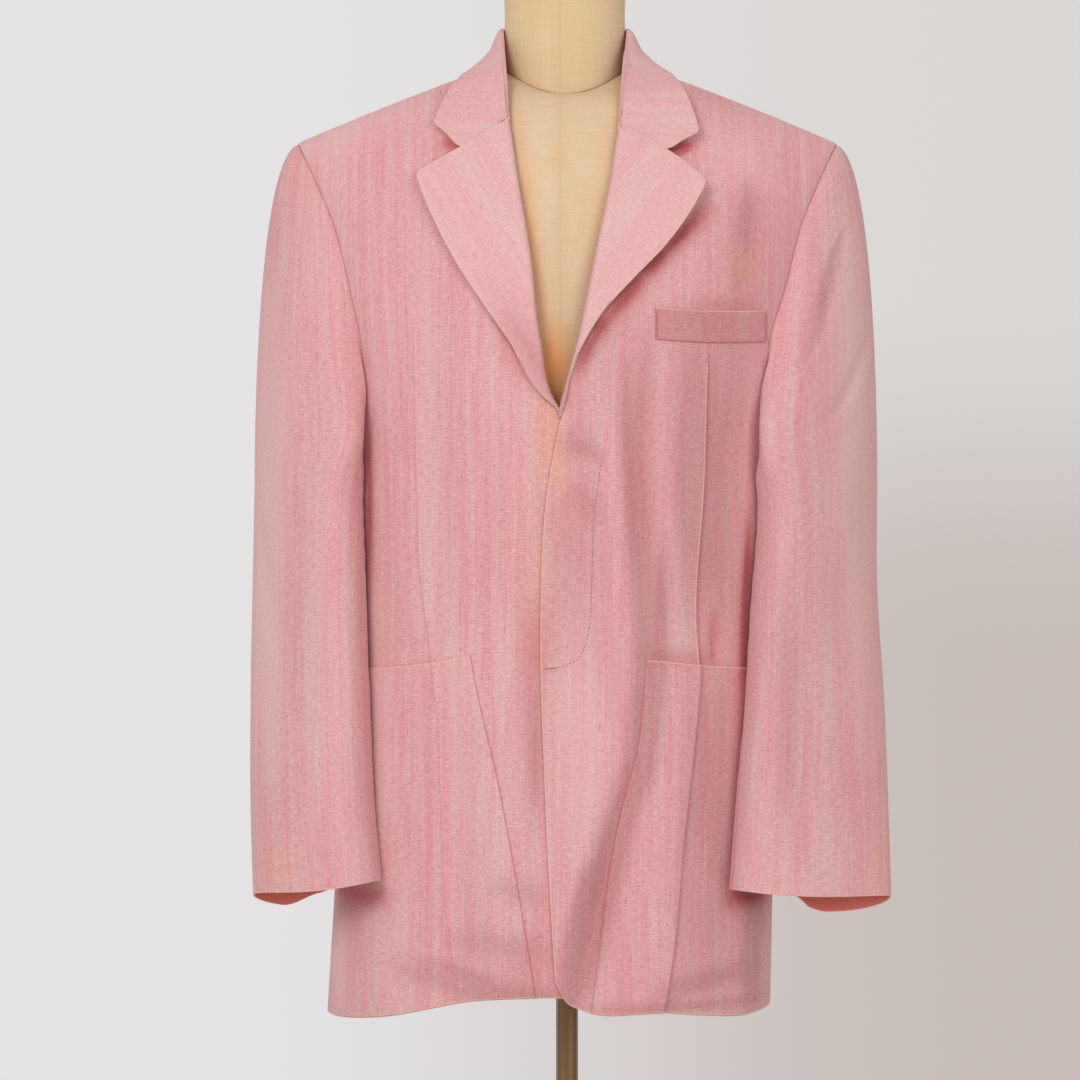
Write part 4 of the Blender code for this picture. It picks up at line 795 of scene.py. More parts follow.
def cut(grid, across, high, finished=(), sewn=()):
    """A cloth from its points and grain, and from the names of its edges."""
    distances = []
    for sides in (finished, sewn):
        nearest = np.full(grid.shape[:2], FAR)
        for side in sides:
            near = from_side(grid, side)
            distance = np.linalg.norm(near - near[:, :1], axis=-1)
            nearest = np.minimum(nearest, back_again(distance, side))
        distances.append(nearest)
    return np.concatenate([grid, np.stack([across, high, *distances], -1)], -1)


def grain(grid, start):
    """Places on the flat cut of a panel whose rows run round the body."""
    round_step = np.linalg.norm(np.diff(grid[..., :2], axis=1), axis=-1)
    across = np.cumsum(np.concatenate([start[:, None], round_step], 1), 1)
    up_step = np.linalg.norm(np.diff(grid[..., 1:], axis=0), axis=-1)
    return across, np.cumsum(np.concatenate([grid[:1, :, 2], up_step]), 0)


def outward(cloth, turned):
    """Which way the right side faces at each point."""
    run, rise = np.gradient(cloth[..., :3], axis=1), np.gradient(cloth[..., :3], axis=0)
    return unit(np.cross(run, rise) * (-1 if turned else 1))


def seams(cloth, sides, turned, depth=0.0006, reach=0.0018):
    """Adds rows close to sewn edges and sinks them, as where two panels are sewn and pressed."""
    for side in sides:
        near = from_side(cloth, side)
        edge, beside = near[:, :1], near[:, 1:2]
        gap = np.linalg.norm((beside - edge)[..., :3], axis=-1, keepdims=True)
        extra = [edge + (beside - edge) * np.minimum(d / gap, limit)
                 for d, limit in ((0.0009, 0.3), (0.0017, 0.55), (0.0026, 0.8))]
        near = np.concatenate([edge, *extra, near[:, 1:]], 1)
        cloth = np.ascontiguousarray(back_again(near, side))
        out = from_side(outward(cloth, turned), side)
        near = from_side(cloth, side)
        away = np.linalg.norm(near[..., :3] - near[:, :1, :3], axis=-1)
        near[..., :3] -= out * (depth * np.exp(-((away / reach) ** 2)))[..., None]
    return cloth


# Below this height the inside is painted terracotta, standing for light bounced inside the pink
# cloth.
FACED_FROM = 0.95  # height above which the inside shows the same pink, as it is faced
FULL_HOLLOW = 0.0085  # push of a fold whose trough is wholly in shade


def panel(name, cloth, thick, marks, turned=False, corner=0.0005, faded=0.0, folds=()):
    """A wall of cloth with softly cornered edges.  The cloth is its right side, its rows
    upwards and its columns anticlockwise, or clockwise where turned."""
    thick = np.broadcast_to(thick, cloth.shape[:2])[..., None]
    if turned:
        cloth, thick = cloth[:, ::-1], thick[:, ::-1]
    rows, columns = cloth.shape[:2]
    number = np.arange(rows * columns).reshape(rows, columns)
    rim = np.concatenate([number[0, :-1], number[:-1, -1], number[-1, :0:-1], number[:0:-1, 0]])
    face, out = cloth[..., :3], outward(cloth, False)
    inward = np.zeros_like(face)
    for side in SIDES:
        near, into = from_side(face, side), from_side(inward, side)
        into[:, 0] += unit(near[:, 1] - near[:, 0])
    face, out, inward, thick = (a.reshape(-1, a.shape[-1]) for a in (face, out, inward, thick))
    into, wall = inward[rim] * corner, thick[rim]
    loops = [face[rim] + into * a - out[rim] * b
             for a, b in ((0.3, 0.3 * corner), (0.0, corner), (0.0, wall - corner),
                          (0.3, wall - 0.3 * corner))]
    right_side, wrong_side = face.copy(), face - out * thick
    right_side[rim] += into
    wrong_side[rim] += into
    points = np.concatenate([right_side, *loops, wrong_side])
    count, border = rows * columns, len(rim)
    quads = np.stack([number[:-1, :-1], number[:-1, 1:], number[1:, 1:], number[1:, :-1]], -1)
    quads = quads.reshape(-1, 4)
    rings = [rim] + [count + border * k + np.arange(border) for k in range(4)]
    rings.append(rim + count + border * 4)
    faces = [quads, quads[:, ::-1] + count + border * 4]
    for ring, lower in zip(rings, rings[1:]):
        faces.append(np.stack([ring, lower, np.roll(lower, -1), np.roll(ring, -1)], -1))
    piece = new_piece(name, points, np.concatenate(faces).tolist(), PINK,
                      PINK if faded else PINK_INSIDE_PAINTED_BOUNCE)
    # Inner faces below the facings take the painted bounce colour.
    inside = np.concatenate([np.full(len(f), k in (1, 6)) for k, f in enumerate(faces)])
    inside &= points[np.concatenate(faces)[:, 0], 2] < FACED_FROM
    piece.data.polygons.foreach_set("material_index", inside.astype(np.int32))
    known = cloth.reshape(count, -1)
    known = np.concatenate([known, *[known[rim]] * 4, known])
    note(piece, "to_edge", known[:, TO_EDGE])
    note(piece, "to_seam", known[:, TO_SEAM])
    # Behind, the marks lie the other way round, so that the two faces are uneven.
    x, y, z = points[:, 0], points[:, 1], points[:, 2]
    x = np.where(y < 0.02, x, -0.93 * x)
    # Painted shade in the troughs of the folds, in front; and the piece's own share of fading and
    # painted light.
    besides = {"faded": faded, "hollow": -hanging(folds, x, z) * (y < 0.0) / FULL_HOLLOW}
    for label in ("deeper", "yellowed", "faded", "hollow"):
        amount = hanging(marks.get(label, ()), x, z) + besides.get(label, 0.0)
        note(piece, label, np.clip(amount, 0, 1))
    corners = np.zeros(len(piece.data.loops), np.int32)
    piece.data.loops.foreach_get("vertex_index", corners)
    kept = piece.data.uv_layers.new(name="grain")
    kept.data.foreach_set("uv", known[corners][:, [ACROSS, ALONG]].astype(np.float32).ravel())
    return piece


# Marks in the cloth, each a soft line: x and z of its two ends, half width, amount.  By kind:
# painted shade, deep red as light bounced between the pink cloth leaves it, under the lapels
# and collar, beside and under the sleeves and in folds; cloth gone yellow; cloth faded, and
# painted light where a shade is lifted; and painted shade in the hollow of a fold, under a
# lapel or beside a sleeve.
BODY_MARKS = {
    "deeper": (
        (0.050, 1.290, 0.052, 0.880, 0.0500, 0.15), (-0.004, 1.060, -0.004, 0.880, 0.0240, 0.15),
        (0.150, 1.300, 0.150, 1.150, 0.0400, 0.20), (-0.186, 1.330, -0.168, 1.120, 0.0100, 0.12),
        (0.160, 1.180, 0.139, 0.680, 0.0050, 0.60), (0.130, 1.200, 0.130, 0.640, 0.0240, 0.35),
        (-0.030, 0.960, -0.024, 0.850, 0.0120, 0.60), (-0.036, 0.680, -0.034, 0.600, 0.0180, 0.50),
        (0.056, 1.170, 0.068, 0.880, 0.0100, 0.20), (0.080, 1.010, 0.076, 0.890, 0.0060, 0.35),
        (0.058, 0.815, 0.001, 0.585, 0.0110, 0.35), (0.012, 1.086, 0.030, 1.062, 0.0060, 0.30),
        (0.006, 1.046, 0.026, 1.012, 0.0070, 0.20), (0.122, 0.942, 0.121, 0.894, 0.0030, 0.60),
        (-0.060, 1.110, -0.066, 0.930, 0.0140, 0.25), (-0.130, 0.652, -0.060, 0.630, 0.0050, 0.35),
        (-0.100, 1.270, -0.110, 1.090, 0.0120, 0.25), (0.082, 1.324, 0.112, 1.336, 0.0050, 1.10),
        (-0.108, 1.342, -0.089, 1.326, 0.0050, 1.10), (-0.125, 1.300, -0.008, 1.105, 0.0050, 0.45),
        (-0.070, 1.180, -0.026, 1.118, 0.0090, 0.40), (0.124, 1.287, 0.064, 1.222, 0.0092, 0.95),
        (0.080, 1.242, 0.020, 1.170, 0.0092, 0.95), (0.031, 1.187, 0.002, 1.131, 0.0075, 0.85),
        (-0.203, 0.700, -0.142, 0.698, 0.0125, 0.90), (0.128, 0.698, 0.185, 0.698, 0.0133, 1.00),
        (-0.067, 1.193, 0.003, 1.110, 0.0058, 0.85), (-0.167, 1.112, -0.168, 0.942, 0.0042, 1.00),
        (0.101, 1.197, 0.165, 1.197, 0.0075, 0.30), (-0.028, 0.875, -0.026, 0.758, 0.0075, 0.45),
        (0.053, 0.904, 0.126, 0.900, 0.0075, 0.45), (0.153, 1.017, 0.147, 0.867, 0.0042, 0.50),
        (0.063, 1.315, 0.103, 1.338, 0.0075, 1.20), (-0.119, 1.338, -0.082, 1.317, 0.0067, 0.40)),
    "yellowed": (
        (-0.015, 1.138, -0.016, 1.040, 0.0110, 1.00), (-0.006, 1.075, -0.004, 1.035, 0.0090, 0.50),
        (0.151, 1.250, 0.151, 1.215, 0.0130, 0.55), (-0.028, 1.060, -0.030, 0.880, 0.0220, 0.22)),
    "faded": (
        (-0.110, 1.395, -0.270, 1.335, 0.0280, 0.80), (0.130, 1.390, 0.260, 1.340, 0.0260, 0.40),
        (0.008, 0.980, 0.016, 0.720, 0.0240, 0.50), (-0.092, 0.930, -0.080, 0.660, 0.0100, 0.35),
        (0.101, 1.342, 0.176, 1.317, 0.0283, 0.55), (-0.162, 1.000, -0.158, 0.758, 0.0100, 0.80),
        (-0.195, 0.696, -0.195, 0.584, 0.0083, 1.20), (0.152, 1.133, 0.151, 0.983, 0.0050, 0.90)),
    "hollow": (
        (0.124, 1.287, 0.064, 1.222, 0.0092, 1.00), (0.080, 1.242, 0.020, 1.170, 0.0092, 1.00),
        (0.031, 1.187, 0.002, 1.131, 0.0075, 0.90), (-0.067, 1.193, 0.003, 1.110, 0.0058, 1.00),
        (0.155, 1.312, 0.141, 1.196, 0.0092, 1.00), (0.113, 1.208, 0.106, 0.908, 0.0283, 0.85),
        (-0.007, 1.093, 0.010, 1.067, 0.0133, 0.60), (0.071, 0.950, 0.058, 0.792, 0.0117, 1.10),
        (0.065, 0.829, 0.016, 0.696, 0.0108, 0.90), (0.020, 0.733, -0.005, 0.600, 0.0117, 1.20),
        (0.100, 0.800, 0.101, 0.608, 0.0183, 0.55), (0.156, 0.725, 0.156, 0.584, 0.0117, 1.10),
        (-0.157, 0.643, 0.006, 0.612, 0.0108, 0.80), (-0.065, 0.717, -0.015, 0.696, 0.0117, 0.55),
        (0.040, 1.240, 0.050, 0.860, 0.0400, 0.34), (-0.004, 1.070, -0.004, 0.880, 0.0240, 0.35),
        (0.152, 1.300, 0.152, 1.150, 0.0400, 0.30), (0.153, 1.033, 0.146, 0.875, 0.0042, 0.90),
        (-0.168, 1.117, -0.168, 0.950, 0.0033, 1.10), (0.140, 0.706, 0.170, 0.696, 0.0060, 0.40),
        (0.120, 1.182, 0.120, 0.917, 0.0200, 0.45), (0.101, 1.197, 0.165, 1.197, 0.0075, 0.40),
        (0.060, 0.617, 0.164, 0.640, 0.0100, 0.90), (0.115, 0.875, 0.113, 0.742, 0.0100, 0.45),
        (-0.028, 0.883, -0.027, 0.775, 0.0058, 0.45), (0.053, 0.905, 0.126, 0.901, 0.0075, 0.35),
        (0.076, 0.992, 0.066, 0.783, 0.0108, 0.65), (0.113, 0.925, 0.101, 0.725, 0.0108, 0.55),
        (0.141, 1.200, 0.140, 1.083, 0.0100, 0.50), (0.068, 1.183, 0.061, 1.075, 0.0075, 0.40),
        (0.103, 1.175, 0.101, 0.983, 0.0075, 0.30), (0.030, 0.825, -0.004, 0.633, 0.0083, 0.45),
        (0.010, 0.607, 0.172, 0.610, 0.0058, 1.00), (-0.115, 0.668, -0.003, 0.657, 0.0125, 0.50),
        (-0.098, 0.620, -0.003, 0.615, 0.0067, 0.60), (0.063, 1.315, 0.103, 1.338, 0.0067, 1.00)),
}


REPEAT = 0.0020  # of the plain weave: two yarns


def slub_weave(name, inside=False):
    """The suiting: uneven pink warp, paler weft, slubs, beige edges, painted shade and light."""
    finish = Finish(name, Sheen_Weight=0.15, Sheen_Roughness=0.5, Sheen_Tint=tint(255, 226, 220))
    finish.shader.inputs["Specular IOR Level"].default_value = 0.2
    flat = finish.node("ShaderNodeUVMap", {"uv_map": "grain"})
    across, high, _ = finish.parts(flat)
    edge, sewn, deeper, yellowed, faded, hollow = map(
        finish.kept, ("to_edge", "to_seam", "deeper", "yellowed", "faded", "hollow"))
    # The dye: broad, middling and narrow streaks down the warp, and slow clouds.
    broad = finish.noise(flat, (30, 1.8, 1), 3.0, 0.6)
    middling = finish.noise(flat, (140, 4.0, 1), 2.0, 0.6)
    narrow = finish.noise(flat, (430, 14, 1), 1.0, 0.6)
    streak = finish.band(broad * 0.36 + middling * 0.34 + narrow * 0.30, 0.34, 0.66)
    cloud = finish.band(finish.noise(flat, (15, 9, 1), 2.0, 0.5), 0.36, 0.68)
    # On the dye: lighter where faded or where painted light is laid on, and painted shade in a
    # hollow.
    colour = finish.over(
        tint(218, 151, 154), (streak, (217, 179, 175)), (cloud * 0.18, (214, 142, 146)),
        (faded * 0.6, (232, 193, 190)), (hollow * 0.50, (164, 106, 103)))
    # Painted shade, deep red as light bounced between the pink cloth would leave it, darker in a
    # hollow.
    shade = finish.over(tint(200, 92, 100), (hollow, (158, 72, 74)))
    shade = finish.blend(deeper, tint(204, 140, 140), shade)
    colour = finish.blend(deeper * 0.85, colour, shade)
    colour = finish.over(colour, (yellowed * (0.30 + 0.3 * streak), (226, 166, 130)))
    # The weave: warp and weft yarns of uneven thickness, passing over each other.
    waver = finish.noise(flat, (90, 90, 1), 1.0) * (REPEAT / 2)
    warp_turn, weft_turn = (finish.math("SINE", (place + waver) * (2 * math.pi / REPEAT))
                            for place in (across, high))
    warp = finish.noise(flat, (720, 170, 1), 0.0)
    weft = finish.noise(flat, (170, 720, 1), 0.0)
    grit = finish.noise(flat, (1150, 1150, 1), 0.0)
    yarns = 0.30 * weft + 0.20 * warp + 0.42 * grit - 0.46
    yarns = yarns + 0.042 * weft_turn * (0.3 + weft) + 0.022 * warp_turn * (0.3 + warp)
    yarns = yarns * (1.0 - 0.45 * faded)
    tone = finish.node("ShaderNodeVectorMath", {"operation": "MULTIPLY_ADD"},
                       [yarns, (0.9, 1.15, 1.2), (1.0, 1.0, 1.0)])
    colour = finish.node("ShaderNodeVectorMath", {"operation": "MULTIPLY"}, [colour, tone])
    slub = finish.band(finish.noise(flat, (520, 62, 1), 1.0), 0.735, 0.80)
    # Edges: worn pale on the fold (on a tuck's raised side, a painted highlight) and gone beige in
    # places, and painted shade in a seam and beside a tuck's step.
    worn = finish.band(finish.noise(flat, (26, 26, 1), 3.0, 0.6), 0.25, 0.65)
    lip = 1.0 - finish.band(edge, 0.0003, 0.0013)
    ditch = 1.0 - finish.band(sewn, 0.0002, 0.0012)
    colour = finish.over(
        colour, (slub * 0.5, (176, 84, 104)), (lip * 0.35, (238, 200, 188)),
        (lip * worn * 0.35, (228, 176, 136)), (ditch * 0.55, (206, 104, 112)))
    # The inside: painted terracotta, the colour of light bounced about inside the pink cloth.
    if inside:
        colour = finish.over(colour, (0.80, (236, 124, 100)))
    raised = warp_turn * weft_turn * 0.00005
    height = raised + narrow * 0.00008 + weft * 0.00014 + warp * 0.00010 + slub * 0.00008
    return finish.feed(height, Base_Color=colour, Roughness=0.80 + 0.14 * grit)


PINK, PINK_INSIDE_PAINTED_BOUNCE = slub_weave("pink_slub_suiting"), slub_weave("pink_slub_wrong_side", True)


def clothing(piece, node):
    """The panel stands for its solid, which is hidden, and stays put."""
    fit(piece, "suiting", node)
    return piece


def crease_at_tuck(cloth, side):
    """The pressed fold of a tuck: a pale edge line on its raised side, a painted highlight, and a
    seam's line of painted shade on its low side.
    """
    z = cloth[..., 2]
    to_tuck = SIGN[side] * (along(TUCK_LINE[side], z) - cloth[..., 0])
    faint = 0.02 * ease((z - TUCK_TOP[side]) / 0.02 + 1) + (0.0010 if side == "right" else 0.0)
    for channel, worn in ((TO_EDGE, to_tuck), (TO_SEAM, -to_tuck)):
        worn = np.where(worn > -0.0003, np.maximum(worn, 0), FAR) + faint
        cloth[..., channel] = np.minimum(cloth[..., channel], worn)
    return cloth


FRONT_CUT_AT = {"right": 0.9, "left": 0.2}  # metres across the cloth from which it was cut
for side, wide in (("right", 0.330), ("left", 0.350)):
    turned = side == "right"
    grid = front_grid(side)
    across, high = grain(grid, grid[:, 0, 0] * SIGN[side])
    front = cut(grid, across + FRONT_CUT_AT[side], high, ("first", "low"), ("last", "high"))
    front = seams(crease_at_tuck(front, side), ("last", "high"), turned)
    piece = panel(f"front_{side}_cloth", front, SUITING, BODY_MARKS, turned,
                  folds=FRONT_FOLDS[side])
    clothing(piece, f"front_{side}")


# ==== Backs ================================================================================
# Two backs in the same cloth, sewn together down the centre and to the fronts at the sides
# and shoulders, hanging straight from the shoulder blades in a few long soft folds.
NECK_POINT, BACK_NECK_DROP = 0.062, 0.30
# Marks on the backs: painted red shade beside the sleeves and under the collar, cloth gone yellow,
# and faded cloth with painted light.
BACK_MARKS = {
    "deeper": (
        (0.150, 1.150, 0.145, 0.640, 0.0200, 0.50), (-0.158, 1.180, -0.150, 0.660, 0.0220, 0.45),
        (0.070, 1.360, -0.070, 1.366, 0.0100, 0.50), (0.030, 1.120, 0.036, 0.700, 0.0180, 0.30),
        (-0.092, 1.260, -0.098, 0.800, 0.0200, 0.25)),
    "yellowed": (
        (0.150, 1.330, 0.240, 1.310, 0.0200, 0.35),),
    "faded": (
        (-0.110, 1.380, -0.250, 1.340, 0.0300, 0.50), (0.110, 1.380, 0.250, 1.340, 0.0260, 0.40),
        (0.066, 1.100, 0.070, 0.620, 0.0140, 0.30)),
}


def back_grid(side):
    """Points of a back, rows upwards and columns from the centre to the side seam."""
    columns, to_neck = 72, 0.4  # the share of the columns that end at the neck
    column = np.linspace(0, 1, columns + 1)
    arm_angle, arm_level = armhole(side, "back", HIGH_SHARES)
    half_turn = SIGN[side] * 180.0
    turn = np.clip(column / to_neck, 0, 1) * math.pi / 2
    past = np.clip((column - to_neck) / (1 - to_neck), 0, 1)
    x = NECK_POINT * np.sin(turn) + (ARMHOLE["back"][-1][0] - NECK_POINT) * past
    top_rise = 1 - BACK_NECK_DROP * np.cos(turn)
    top_angle = half_turn - SIGN[side] * angle_from(x / half_width(top_rise))
    low_angle = half_turn + (SIGN[side] * 90.0 - half_turn) * column
    bend = column**3
    share = HIGH_SHARES[:, None]
    plain = low_angle + (top_angle - low_angle) * share
    angle = plain + (arm_angle[:, None] - plain[:, -1:]) * bend
    level = 1 + share * top_rise + (arm_level[:, None] - 1 - share) * bend
    low = np.repeat(LOW_LEVELS[:, None], columns + 1, 1)
    return surface(side, np.concatenate([np.broadcast_to(low_angle, low.shape), angle]),
                   np.concatenate([low, level]))


SEWN_ROUND = ("first", "last", "high")  # all its edges but the lowest
BACK_CUT_AT = {"right": 2.3, "left": 1.6}
for side in SIGN:
    turned = side == "left"
    grid = back_grid(side)
    across, high = grain(grid, np.zeros(len(grid)))
    back = cut(grid, across + BACK_CUT_AT[side], high, ("low",), SEWN_ROUND)
    back = seams(back, SEWN_ROUND, turned)
    piece = panel(f"back_{side}_cloth", back, SUITING, BACK_MARKS, turned)
    clothing(piece, f"back_{side}")


# ==== Patch pockets and breast welt ========================================================
# A patch of the same cloth on each front, from a slanted front edge to the side seam and down
# to the hem, and the folded welt of a pocket that is cut into the left breast.
LAID_ON = 0.0005  # between a panel and what is sewn on it
POCKET_MOUTH = 0.60  # level of the pockets' tops
MOUTH_RISE = {"right": 0.0065, "left": 0.0062}  # towards the front corner
POCKET_CUT_AT, WELT_CUT_AT = {"right": 3.1, "left": 3.7}, 4.3
levels = np.linspace(0, POCKET_MOUTH, 104)
for side in SIGN:
    turned = side == "right"
    grid = front_grid(side, SUITING + LAID_ON, levels, HIGH_SHARES[:2])[:len(levels), AT_POCKET:]
    grid[0] += 0.3 * (grid[1] - grid[0])
    by_corner = np.exp(-np.abs(grid[..., 0] - grid[:, :1, 0]) / 0.05)
    grid[..., 2] += MOUTH_RISE[side] * by_corner * (levels[:, None] / POCKET_MOUTH) ** 6
    across, high = grain(grid, grid[:, 0, 0] * SIGN[side])
    pocket = cut(grid, across + POCKET_CUT_AT[side], high, ("high", "low"), ("first", "last"))
    pocket = seams(crease_at_tuck(pocket, side), ("first", "last"), turned, 0.0007)
    piece = panel(f"hip_pocket_{side}_cloth", pocket, SUITING, BODY_MARKS, turned,
                  folds=FRONT_FOLDS[side])
    clothing(piece, f"hip_pocket_{side}")


def front_point(side, x, z, lift):
    """The point seen at x and z from the front, at a height off the front's cloth."""
    x, z, lift = np.broadcast_arrays(np.asarray(x, float), z, lift)
    base_x, base_z = x, z
    for _ in range(6):
        places = zip(low_place(side, base_x, base_z), front_place(base_x, base_z))
        angle, level = (np.where(base_z < UNDERARM, low, high) for low, high in places)
        point = surface(side, angle, level, lift)
        base_x = base_x + x - point[..., 0]
        base_z = base_z + z - point[..., 2]
    return point


WELT_FROM, WELT_TO, WELT_LOW, WELT_TALL = 0.0728, 0.1680, 1.1670, 0.0268
# The welt is painted in shade all over, dark and red.
WELT_MARKS = {
    "deeper": (
        (0.040, 1.181, 0.200, 1.181, 0.0500, 0.45),),
    "hollow": (
        (0.040, 1.181, 0.200, 1.181, 0.0500, 0.95),),
}
x = np.linspace(WELT_FROM, WELT_TO, 40)[None, :]
z = np.linspace(WELT_LOW, WELT_LOW + WELT_TALL, 14)[:, None]
sag = 0.002 * np.sin(math.pi * (x - WELT_FROM) / (WELT_TO - WELT_FROM))
x, z = np.broadcast_arrays(x + 0 * z, z - sag)
grid = front_point("left", x, z, SUITING + LAID_ON + 0.0003)
welt = cut(grid, x + WELT_CUT_AT, z, ("high",), ("low", "first", "last"))
welt = seams(welt, ("low", "first", "last"), False, 0.0008, 0.0014)
clothing(panel("breast_welt_cloth", welt, SUITING, WELT_MARKS), "breast_welt")


# ==== Sleeves ==============================================================================
# Two-part sleeves set into square, padded-looking shoulders: an upper part over the arm and a
# narrow under part behind it, hanging straight and a little forward to wide plain cuffs.
RING_X, RING_Y, RING_WIDE, RING_DEEP, RING_SKEW = 1, 2, 3, 4, 5
# Rings below the biceps: height, x, y, half width, half depth and forward skew.
SLEEVE_RINGS = {
    "left": ((0.697, 0.2052, -0.0860, 0.0697, 0.0350, 0.0300),
             (0.770, 0.2075, -0.0735, 0.0665, 0.0420, 0.0350),
             (0.860, 0.2100, -0.0570, 0.0625, 0.0520, 0.0430),
             (0.960, 0.2102, -0.0370, 0.0585, 0.0665, 0.0520),
             (1.050, 0.2140, -0.0190, 0.0565, 0.0810, 0.0550)),
    "right": ((0.697, 0.2120, -0.0820, 0.0555, 0.0430, 0.0300),
              (0.770, 0.2168, -0.0705, 0.0540, 0.0480, 0.0350),
              (0.860, 0.2194, -0.0545, 0.0531, 0.0560, 0.0430),
              (0.960, 0.2207, -0.0350, 0.0518, 0.0680, 0.0470),
              (1.050, 0.2203, -0.0170, 0.0517, 0.0815, 0.0450)),
}
BICEPS, CUFF = 1.050, 0.697
HIND_SHIFT = 16.0  # degrees by which the cloth behind the arm is set further back
# Folds: where round and down the sleeve one starts and ends, half width in degrees, push.
SLEEVE_FOLDS = {
    "left": ((38, 0.30, 92, 0.52, 16, -0.0040), (20, 0.62, 88, 0.80, 14, -0.0030),
             (60, 0.84, 74, 1.25, 16, 0.0030)),
    "right": ((48, 0.34, 58, 0.96, 13, 0.0030), (84, 0.50, 96, 1.00, 15, -0.0030),
              (30, 1.10, 70, 1.45, 18, -0.0025)),
}
# Marks on the sleeves: painted red shade, mostly along their inner edges; cloth gone yellow;
# painted light down their outer edges, with faded cloth; painted shade in creases.
SLEEVE_MARKS = {
    "deeper": (
        (0.176, 1.180, 0.166, 0.700, 0.0080, 0.25), (-0.166, 1.140, -0.150, 0.700, 0.0140, 0.40),
        (0.262, 1.100, 0.262, 0.700, 0.0140, 0.15), (0.222, 1.240, 0.196, 1.155, 0.0070, 0.35),
        (-0.186, 1.260, -0.172, 1.040, 0.0100, 0.40)),
    "yellowed": (
        (-0.200, 1.330, -0.245, 1.300, 0.0260, 0.30), (-0.258, 1.240, -0.262, 0.780, 0.0100, 0.15),
        (-0.262, 0.740, -0.225, 0.712, 0.0160, 0.60), (0.270, 0.760, 0.262, 0.706, 0.0120, 0.35)),
    "faded": (
        (-0.258, 1.258, -0.257, 0.783, 0.0183, 1.05), (0.130, 1.390, 0.260, 1.340, 0.0260, 0.40),
        (0.212, 1.200, 0.206, 1.140, 0.0060, 0.40), (0.241, 1.292, 0.253, 0.800, 0.0217, 1.25)),
    "hollow": (
        (0.236, 1.265, 0.203, 1.137, 0.0058, 0.80), (0.185, 1.000, 0.181, 0.725, 0.0117, 0.70)),
}
FORE_SEAM, HIND_SEAM = 170, 246  # degrees round the sleeve
SLEEVE_CUT_AT = {"right": 5.3, "left": 6.1}
CUFF_RISE = {"left": 0.0048, "right": 0.0080}  # half of its rise towards the body
# The cuff's lift in front, its drop behind, how much less it drops near the body, and the
# cosine round the sleeve from which that eases off.
CUFF_HANG = {"left": (0.0050, 0.0145, 0.0110, 0.25), "right": (0.0100, 0.0100, 0.0100, 0.60)}
# How far the front falls over the body, at what height, and its reach above and below.
FRONT_OVERHANG = {"left": (0.0150, 1.090, 0.052, 0.052), "right": (0.0105, 1.088, 0.062, 0.032)}
OVERHANG_AT, OVERHANG_WIDE = 130, 38  # degrees round the sleeve
OVER_BODY, BEHIND_BODY, SET_IN = 1.6 * SUITING, 0.0009, 0.0008  # at the armhole


def sleeve_ring(side, turn, z):
    """A point on a sleeve below the biceps."""
    rings = SLEEVE_RINGS[side]
    behind = np.sin(np.radians(2 * (turn - 180))) * ((turn > 180) & (turn < 270))
    turn = np.radians(turn + HIND_SHIFT * behind)
    x = along(rings, z, RING_X) + along(rings, z, RING_WIDE) * np.cos(turn)
    forward = along(rings, z, RING_SKEW) * np.cos(turn) * (1 + np.sin(turn)) / 2
    y = along(rings, z, RING_Y) + forward - along(rings, z, RING_DEEP) * np.sin(turn)
    return np.stack(np.broadcast_arrays(SIGN[side] * x, y, z), axis=-1)


def sleeve_start(side, turn):
    """The armhole, read round the sleeve: 0 at the shoulder, 90 in front, 180 underneath."""
    shares = np.linspace(0, 1, 161)
    turns = np.concatenate([180 - 180 * shares[::-1], 180 + 180 * shares[1:]])
    lapped = ease(-2.2 * np.cos(np.radians(turns)) - 1.1)  # 1 under the arm, over the side
    # The seam allowance goes in behind the body's edge, and underneath it laps over it.
    tucked = OVER_BODY * lapped - BEHIND_BODY * (1 - lapped)
    front = surface(side, *armhole(side, "front", shares), tucked[160::-1])
    back = surface(side, *armhole(side, "back", shares), tucked[160:])
    loop = np.concatenate([front[::-1], back[1:]])
    loop[:, 0] -= SIGN[side] * SET_IN * (1 - lapped)
    return np.stack([np.interp(turn, turns, loop[:, axis]) for axis in range(3)], axis=-1)


def clear_of_side(points, clear):
    """Moves points out until they clear the body's own ring at their height."""
    x, y, z = np.moveaxis(points, -1, 0)
    rise = rise_at(x, z, roundness(y))
    half = half_width(rise, along(BODY_RINGS, z, HALF)) + clear
    depth = ring_depth(y < 0, z) * np.cos(rise * math.pi / 2) ** (2 / roundness(y)) + clear
    across = (x - along(BODY_RINGS, z, CENTRE)) / half
    inside = np.abs(across) ** SQUARENESS + np.abs(y / depth) ** SQUARENESS
    scale = np.where(inside < 1, inside ** (-1 / SQUARENESS), 1.0)
    return np.stack([x + across * half * (scale - 1), y * scale, z], -1)


